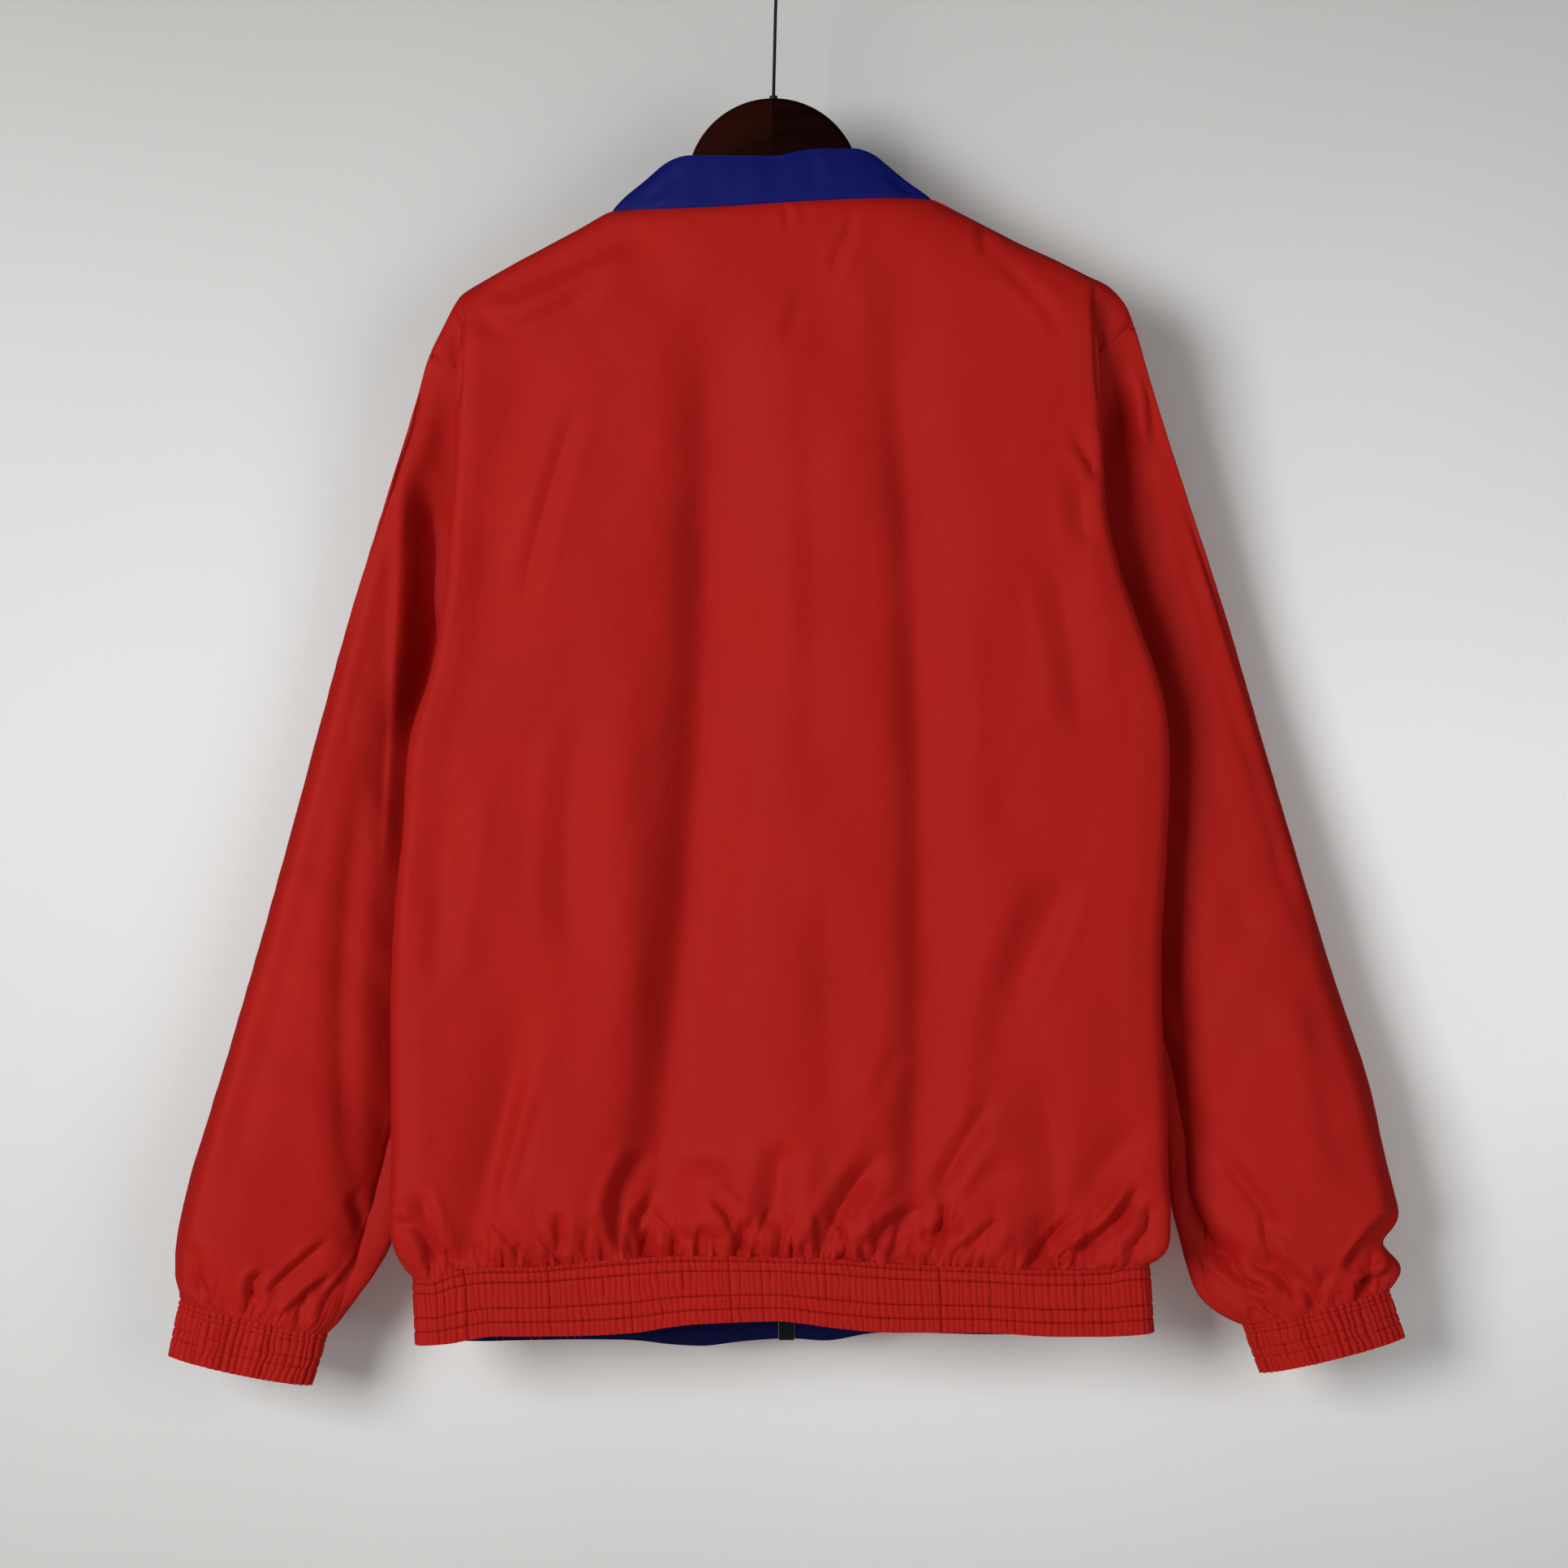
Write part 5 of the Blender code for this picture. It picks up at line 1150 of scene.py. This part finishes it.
def make_band(name, top, bottom, pitch, plain, closed, outward, node, seed,
              stitches=BAND_STITCHES, deep=1.0, tie=0.95, shown=1.0):
    """An elastic band: uneven ribs that every row of stitches pinches, and its stitches.
    The columns of the grid follow the ribs, so that every groove stays sharp. pitch is the width of
    a rib, plain the length without ribs, deep and tie the depth of ribs and stitches, and shown the
    share of the threads that aren't sunk in the ribs."""
    read_high, length = path_reader(top, closed)
    read_low, _ = path_reader(bottom, closed)
    count = int(round(length / pitch))
    even = np.arange(count * RIB_COLUMNS + (not closed)) / (count * RIB_COLUMNS)
    out = path_outward(read_high(even), closed, outward)
    tall = np.linalg.norm(read_low(even) - read_high(even), axis=1).mean()
    shares = np.linspace(0, 1, even_count(tall, 0.8) + 1)
    stitches = [int(round(row * (len(shares) - 1))) for row in stitches]
    rng = np.random.default_rng(seed)
    rib = even * count
    posts = np.arange(count + 3)
    waver = smooth(posts * 1.6, rng.normal(0, 0.2, len(posts)), rib)
    wander = smooth(posts * 2.7, rng.uniform(-1, 1, len(posts)), rib)
    strong, weak = rng.uniform(0.35, 1.25, len(posts)), rng.choice((1.0, 1.0, 0.5), len(posts))
    strength = np.interp(rib, posts + 0.5, strong * weak)
    loose = ease(np.minimum(rib, count - rib) / 2)
    gathered = ease((length * (1 - even) - plain) / 12) * 0.88 + 0.12 if plain else np.ones(len(even))
    grid, cloth = [], []
    for share in shares:
        pinch = min(abs(share - shares[row]) for row in stitches) * tall
        puff = float(ease(pinch / 1.7)) ** 0.6
        swing = 0.26 * math.sin(share * 6 + seed) + 0.12 * np.sin(share * 15 + rib)
        at = even + (waver + swing * wander) * loose / count
        ribs = np.abs(np.sin(math.pi * rib)) ** 0.55 - 0.8
        bulge = (0.7 + 1.4 * puff) * deep * strength * ribs * gathered + tie * (puff - 1)
        high, low = read_high(at), read_low(at)
        grid.append(high + (low - high) * share + out * bulge[:, None])
        cloth.append(np.stack((at * length, np.full(len(at), -share * tall)), axis=1))
    rows = [grid[row] + out * (ELASTIC / 2) for row in stitches]
    grid, cloth = np.array(grid[::-1]), np.array(cloth[::-1])
    grid, cloth = tuck_under(grid, cloth, np.broadcast_to(out, grid.shape), "high")
    piece = wall(name, grid, cloth, closed, outward, ELASTIC, "red")
    finish_piece(piece, "red_shell", node)
    add_stitches(name.replace("cloth", "stitches"), rows, out, shown, rng)


def add_stitches(name, rows, out, shown, rng):
    """Rows of short threads on a band. Each thread lies half sunk in its groove."""
    points, faces = [], []
    for path in rows:
        places = run(path)
        read = lambda line, at: np.array([np.interp(at, places, line[:, k]) for k in range(3)])
        for start in np.arange(0.6, places[-1] - 2.6, THREAD_STEP):
            if rng.random() > shown:
                continue
            a, middle, b = (read(path, start + along) for along in (0, THREAD / 2, THREAD))
            normal = unit(read(out, start + THREAD / 2))
            up = np.array((0.0, 0.0, 0.75 if shown == 1 else 0.45))
            base = len(points)
            points += [a + normal * 0.1, middle + normal * 0.7, b + normal * 0.1, middle - up, middle + up]
            faces += [[base, base + 3, base + 1], [base + 3, base + 2, base + 1],
                      [base, base + 1, base + 4], [base + 1, base + 2, base + 4],
                      [base, base + 4, base + 3], [base + 4, base + 2, base + 3]]
    finish_piece(add_piece(name, points, faces, np.array(points)[:, [0, 2]], "thread"), "red_shell")


def bottom_path(row, table, right=1.012, left=0.992):
    """The lower edge of a hem piece, with how wide its halves are next to the seam's."""
    return [np.array((p[0] * (left if p[0] < 0 else right), p[1] * 0.97,
                      look_up(HEM_COLUMNS, table, "x", "edge", p[0]))) for p in row]


def cuff_end(side, ring):
    ox, oz, ix, iz = CUFF_ENDS[side]
    middle = len(ring) // 2
    outer = np.array((ox, 0.0, oz)) - ring[0] * (1, 0, 1)
    inner = np.array((ix, 0.0, iz)) - ring[middle] * (1, 0, 1)
    shares = [(p[0] - ring[0][0]) / (ring[middle][0] - ring[0][0]) for p in ring]
    return [p + outer * (1 - share) + inner * share for p, share in zip(ring, shares)]


def make_bands():
    back = list(back_sheet()[0])
    make_band("hem_band_cloth_back", back, bottom_path(back, HEM_BACK), 3.95, 0, False, 1.0,
              "hem_band_back", 3)
    for side, turn in SIGN.items():
        path = list(front_sheet(side)[0])
        make_band("hem_band_cloth_front_" + side, path, bottom_path(path, HEM_FRONT), 4.1, 112, False, turn,
                  "hem_band_front_" + side, 5)
        make_facing(side, path, turn)
        ring = list(sleeve_sheet(side)[-1])
        make_band("cuff_cloth_" + side, ring, cuff_end(side, ring), 4.4, 0, True, -turn,
                  "cuff_" + side, 8, CUFF_STITCHES, deep=2.2, tie=0.5, shown=0.5)


def make_facing(side, path, turn):
    """Blue inner layer of the front hem, with its end pulled 0.8 mm in towards the zip."""
    path = np.array(path[3:])
    out = path_outward(path, False, turn)
    inside = path - out * (ELASTIC / 2 + FACING / 2 + 0.3)
    inside[-1, 0] -= turn * 0.8
    low = np.array(bottom_path(inside, HEM_FRONT, right=0.992))
    sheet = np.array([low + (inside - low) * share for share in (0.0, 0.4, 0.8)] + [inside + (0, 0, 6.0)])
    grid, cloth = fine_grid(sheet, (1.6, 1.6, 10), 2.2)
    normals = grid_normals(grid, False, turn)
    x, z, v = grid[..., 0], grid[..., 2], cloth[..., 1]
    depth = ripple(x, z, 71, 30, 0.5) * 0.3 + 0.3 * np.exp(-((v - 5) / 0.8) ** 2)
    grid = grid - normals * depth[..., None]
    # the facing's darker blue is painted shade
    hung_piece("hem_facing_cloth_" + side, grid, cloth, False, turn, FACING, "facing_painted_shade", "hem_facing_" + side)


# ---- zip ----------------------------------------------------------------------------------------

def zip_path():
    lines = [front_sheet("left")[:, -1], front_sheet("right")[:, -1]]
    points = [(a + b) / 2 for a, b in zip(*lines)]
    return np.array([points[0] - (0, 0, 28.0)] + points + [np.array((0.0, NECK_FRONT[0], ZIP_TOP_Z))])


TAPE_HALF, TAPE_ROWS, TOOTH_STEP = 5.6, 220, 1.3


def make_zip():
    """The tape down the front, and one tooth, copied along both sides of it."""
    knots_path = zip_path()
    knots = run(knots_path)
    places = np.linspace(0, knots[-1], TAPE_ROWS)
    path = along_curve(knots_path, knots, places)
    along = np.gradient(path, axis=0)
    along /= np.linalg.norm(along, axis=1)[:, None]
    out = np.cross(along, (1.0, 0.0, 0.0))
    out /= np.linalg.norm(out, axis=1)[:, None]
    section = np.linspace(-TAPE_HALF, TAPE_HALF, 13)
    grid = path[:, None] + np.array((1.0, 0, 0)) * section[None, :, None]
    grid = grid + out[:, None] * (0.25 * np.cos(section / TAPE_HALF * math.pi))[None, :, None]
    cloth = np.stack(np.meshgrid(section, places), axis=2)
    tape = wall("zip_tape_cloth", grid[:-1], cloth[:-1], False, -1.0, 0.9, "tape")
    finish_piece(tape, "zip_black", "zip_chain")
    deselect()
    bpy.ops.mesh.primitive_cube_add(size=MM)
    tooth = bpy.context.object
    tooth.scale = (3.0, 2.5, 1.0)
    apply_place()
    bevel(tooth, 0.24, 1, 40)
    tooth.data.materials.append(MATERIALS["teeth"])
    for k, place in enumerate(np.arange(1.0, knots[-1] - 1.0, TOOTH_STEP)):
        centre, up, face = (Vector([np.interp(place, places, line[:, i]) for i in range(3)])
                            for line in (path, along, out))
        copy = tooth.copy()
        copy.data = tooth.data.copy()
        bpy.context.scene.collection.objects.link(copy)
        copy.rotation_euler = face.to_track_quat("Y", "Z").to_euler()
        copy.location = (centre + Vector((1.0 if k % 2 else -1.0, 0, 0))) * MM
        copy.select_set(True)
    bpy.ops.object.join()
    tooth.name = "zip_teeth_chain"
    apply_place()
    finish_piece(tooth, "zip_black")


# ---- hard pieces --------------------------------------------------------------------------------

def bevel(piece, width, segments, angle):
    """Round the edges of the active piece."""
    rounding = piece.modifiers.new("bevel", "BEVEL")
    rounding.width, rounding.segments = width * MM, segments
    rounding.limit_method, rounding.angle_limit = "ANGLE", math.radians(angle)
    bpy.ops.object.modifier_apply(modifier=rounding.name)


def make_hanger():
    """The wooden hanger: a bar drawn out station by station, and a half-round head."""
    x, top, under = HANGER[0]
    deselect()
    bpy.ops.mesh.primitive_plane_add(size=MM, location=(x * MM, 0, (top + under) / 2 * MM),
                                     rotation=(0, math.radians(90), 0))
    bar = bpy.context.object
    bar.scale = (top - under, HANGER_THICK - 0.4, 1)
    apply_place()
    bpy.ops.object.mode_set(mode="EDIT")
    bpy.ops.mesh.select_all(action="SELECT")
    for (x0, top0, under0), (x, top, under) in zip(HANGER, HANGER[1:]):
        rise = (top + under - top0 - under0) / 2
        bpy.ops.mesh.extrude_region_move(TRANSFORM_OT_translate={"value": ((x - x0) * MM, 0, rise * MM)})
        bpy.ops.transform.resize(value=(1, 1, (top - under) / (top0 - under0)),
                                 center_override=(x * MM, 0, (top + under) / 2 * MM))
    bpy.ops.mesh.select_all(action="SELECT")
    bpy.ops.mesh.normals_make_consistent(inside=False)
    bpy.ops.object.mode_set(mode="OBJECT")
    bevel(bar, 3.6, 4, 60)
    bpy.ops.mesh.primitive_cylinder_add(vertices=144, radius=HEAD_RADIUS * MM, depth=HANGER_THICK * MM,
                                        location=(0, 0, HEAD_Z * MM), rotation=(math.radians(90), 0, 0))
    head = bpy.context.object
    apply_place()
    bpy.ops.object.mode_set(mode="EDIT")
    bpy.ops.mesh.select_all(action="SELECT")
    bpy.ops.mesh.bisect(plane_co=(0, 0, HEAD_CUT_Z * MM), plane_no=(0, 0, -1), use_fill=True,
                        clear_outer=True)
    bpy.ops.object.mode_set(mode="OBJECT")
    bevel(head, 4.2, 6, 60)
    bar.select_set(True)
    bpy.ops.object.join()
    head.name = "hanger_timber"
    dress(head, "wood")
    round_off(32)
    finish_piece(head, "dark_wood", "hanger_wood")
    deselect()
    bpy.ops.mesh.primitive_cylinder_add(vertices=40, radius=FERRULE_RADIUS * MM, depth=FERRULE_TALL * MM,
                                        location=(0, 0, FERRULE_Z * MM))
    ferrule = bpy.context.object
    ferrule.name = "hook_ferrule"
    bevel(ferrule, 0.6, 2, 60)
    apply_place()
    round_off(32)
    dress(ferrule, "wire")
    finish_piece(ferrule, "black_wire")


def dress_hard_nodes():
    """The hard nodes keep their shape and get their real finish."""
    finishes = {"zip_box": "teeth", "zip_slider": "metal", "zip_pull": "metal", "hanger_hook": "wire"}
    for node, material in finishes.items():
        dress(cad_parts[node], material)


# ---- stage --------------------------------------------------------------------------------------

# Name, place in metres, size in metres and power in watts.
LIGHTS = (("key_light", (-1.95, -2.65, -0.05), 1.4, 79), ("fill_light", (2.1, -2.5, -0.4), 1.8, 23),
          ("front_light", (0.0, 3.2, -0.57), 0.6, 16), ("low_fill", (0.0, -2.2, -1.9), 2.0, 2))


def make_stage():
    """A pale wall behind the jacket whose colour is a painted pool of light, brightest near the middle and
    darker towards its edges, a pale floor, soft lights and the photo's camera.
    """
    wall_paint = Paint("pale_wall", (0.80, 0.80, 0.79), 0.9, specular=0.1)
    centred = wall_paint.place((0.5, 1.25, 1.0), shift=(-0.17, 0.09, 0.0))
    painted_light_pool = wall_paint.node("ShaderNodeTexGradient", {"gradient_type": "SPHERICAL"}, {"Vector": centred})
    blotch = wall_paint.noise(1.3, 2.0)
    # painted light: the wall's colour runs from a darker grey at its edges to near white at a bright middle,
    # a painted pool of light, with soft random patches on top
    wall_paint.set("Base Color", wall_paint.mix(painted_light_pool * 1.2 + blotch * 0.3 - 0.18,
                                                (0.47, 0.47, 0.455), (0.97, 0.975, 0.965)))
    facing = wall_paint.node("ShaderNodeNewGeometry", output=6)
    clear = wall_paint.node("ShaderNodeBsdfTransparent")
    shown = Value(wall_paint, wall_paint.shader.outputs[0])
    both = wall_paint.node("ShaderNodeMixShader", {}, {0: facing, 1: shown, 2: clear})
    wall_paint.tree.links.new(both.socket, wall_paint.tree.nodes["Material Output"].inputs["Surface"])
    bpy.ops.mesh.primitive_plane_add(size=6, location=(0, 0.08, -0.57), rotation=(math.radians(90), 0, 0))
    backdrop = bpy.context.object
    backdrop.name = "pale_wall"
    backdrop.data.materials.append(wall_paint.material)
    for flag in ("visible_shadow", "visible_diffuse", "visible_glossy", "visible_transmission"):
        setattr(backdrop, flag, False)
    floor_paint = Paint("pale_floor", (0.7, 0.7, 0.69), 0.8)
    bpy.ops.mesh.primitive_plane_add(size=8, location=(0, 0, -2.1))
    floor = bpy.context.object
    floor.name = "pale_floor"
    floor.data.materials.append(floor_paint.material)

    for name, place, size, power in LIGHTS:
        lamp = bpy.data.lights.new(name, "AREA")
        lamp.energy, lamp.size = power, size
        holder = link(name, lamp)
        holder.location = place
        aim = Vector((0, 0, -0.55)) - Vector(place)
        holder.rotation_euler = aim.to_track_quat("-Z", "Y").to_euler()
    world = bpy.data.worlds.new("soft_room")
    world.use_nodes = True
    sky = world.node_tree.nodes["Background"].inputs
    sky["Color"].default_value, sky["Strength"].default_value = (1.0, 0.99, 0.98, 1.0), 0.11
    bpy.context.scene.world = world
    bpy.context.scene.view_settings.view_transform = "Standard"

    camera = bpy.data.cameras.new("camera")
    camera.sensor_width, camera.lens = 36.0, 78.83
    holder = link("camera", camera)
    holder.location = (0.00676, -2.22, -0.5689)
    holder.rotation_euler = (math.radians(90), 0, 0)
    bpy.context.scene.camera = holder


make_back()
for wearer_side in SIGN:
    make_front(wearer_side)
    make_sleeve(wearer_side)
make_collar()
make_bands()
make_zip()
make_hanger()
dress_hard_nodes()
make_stage()

bpy.context.view_layer.update()
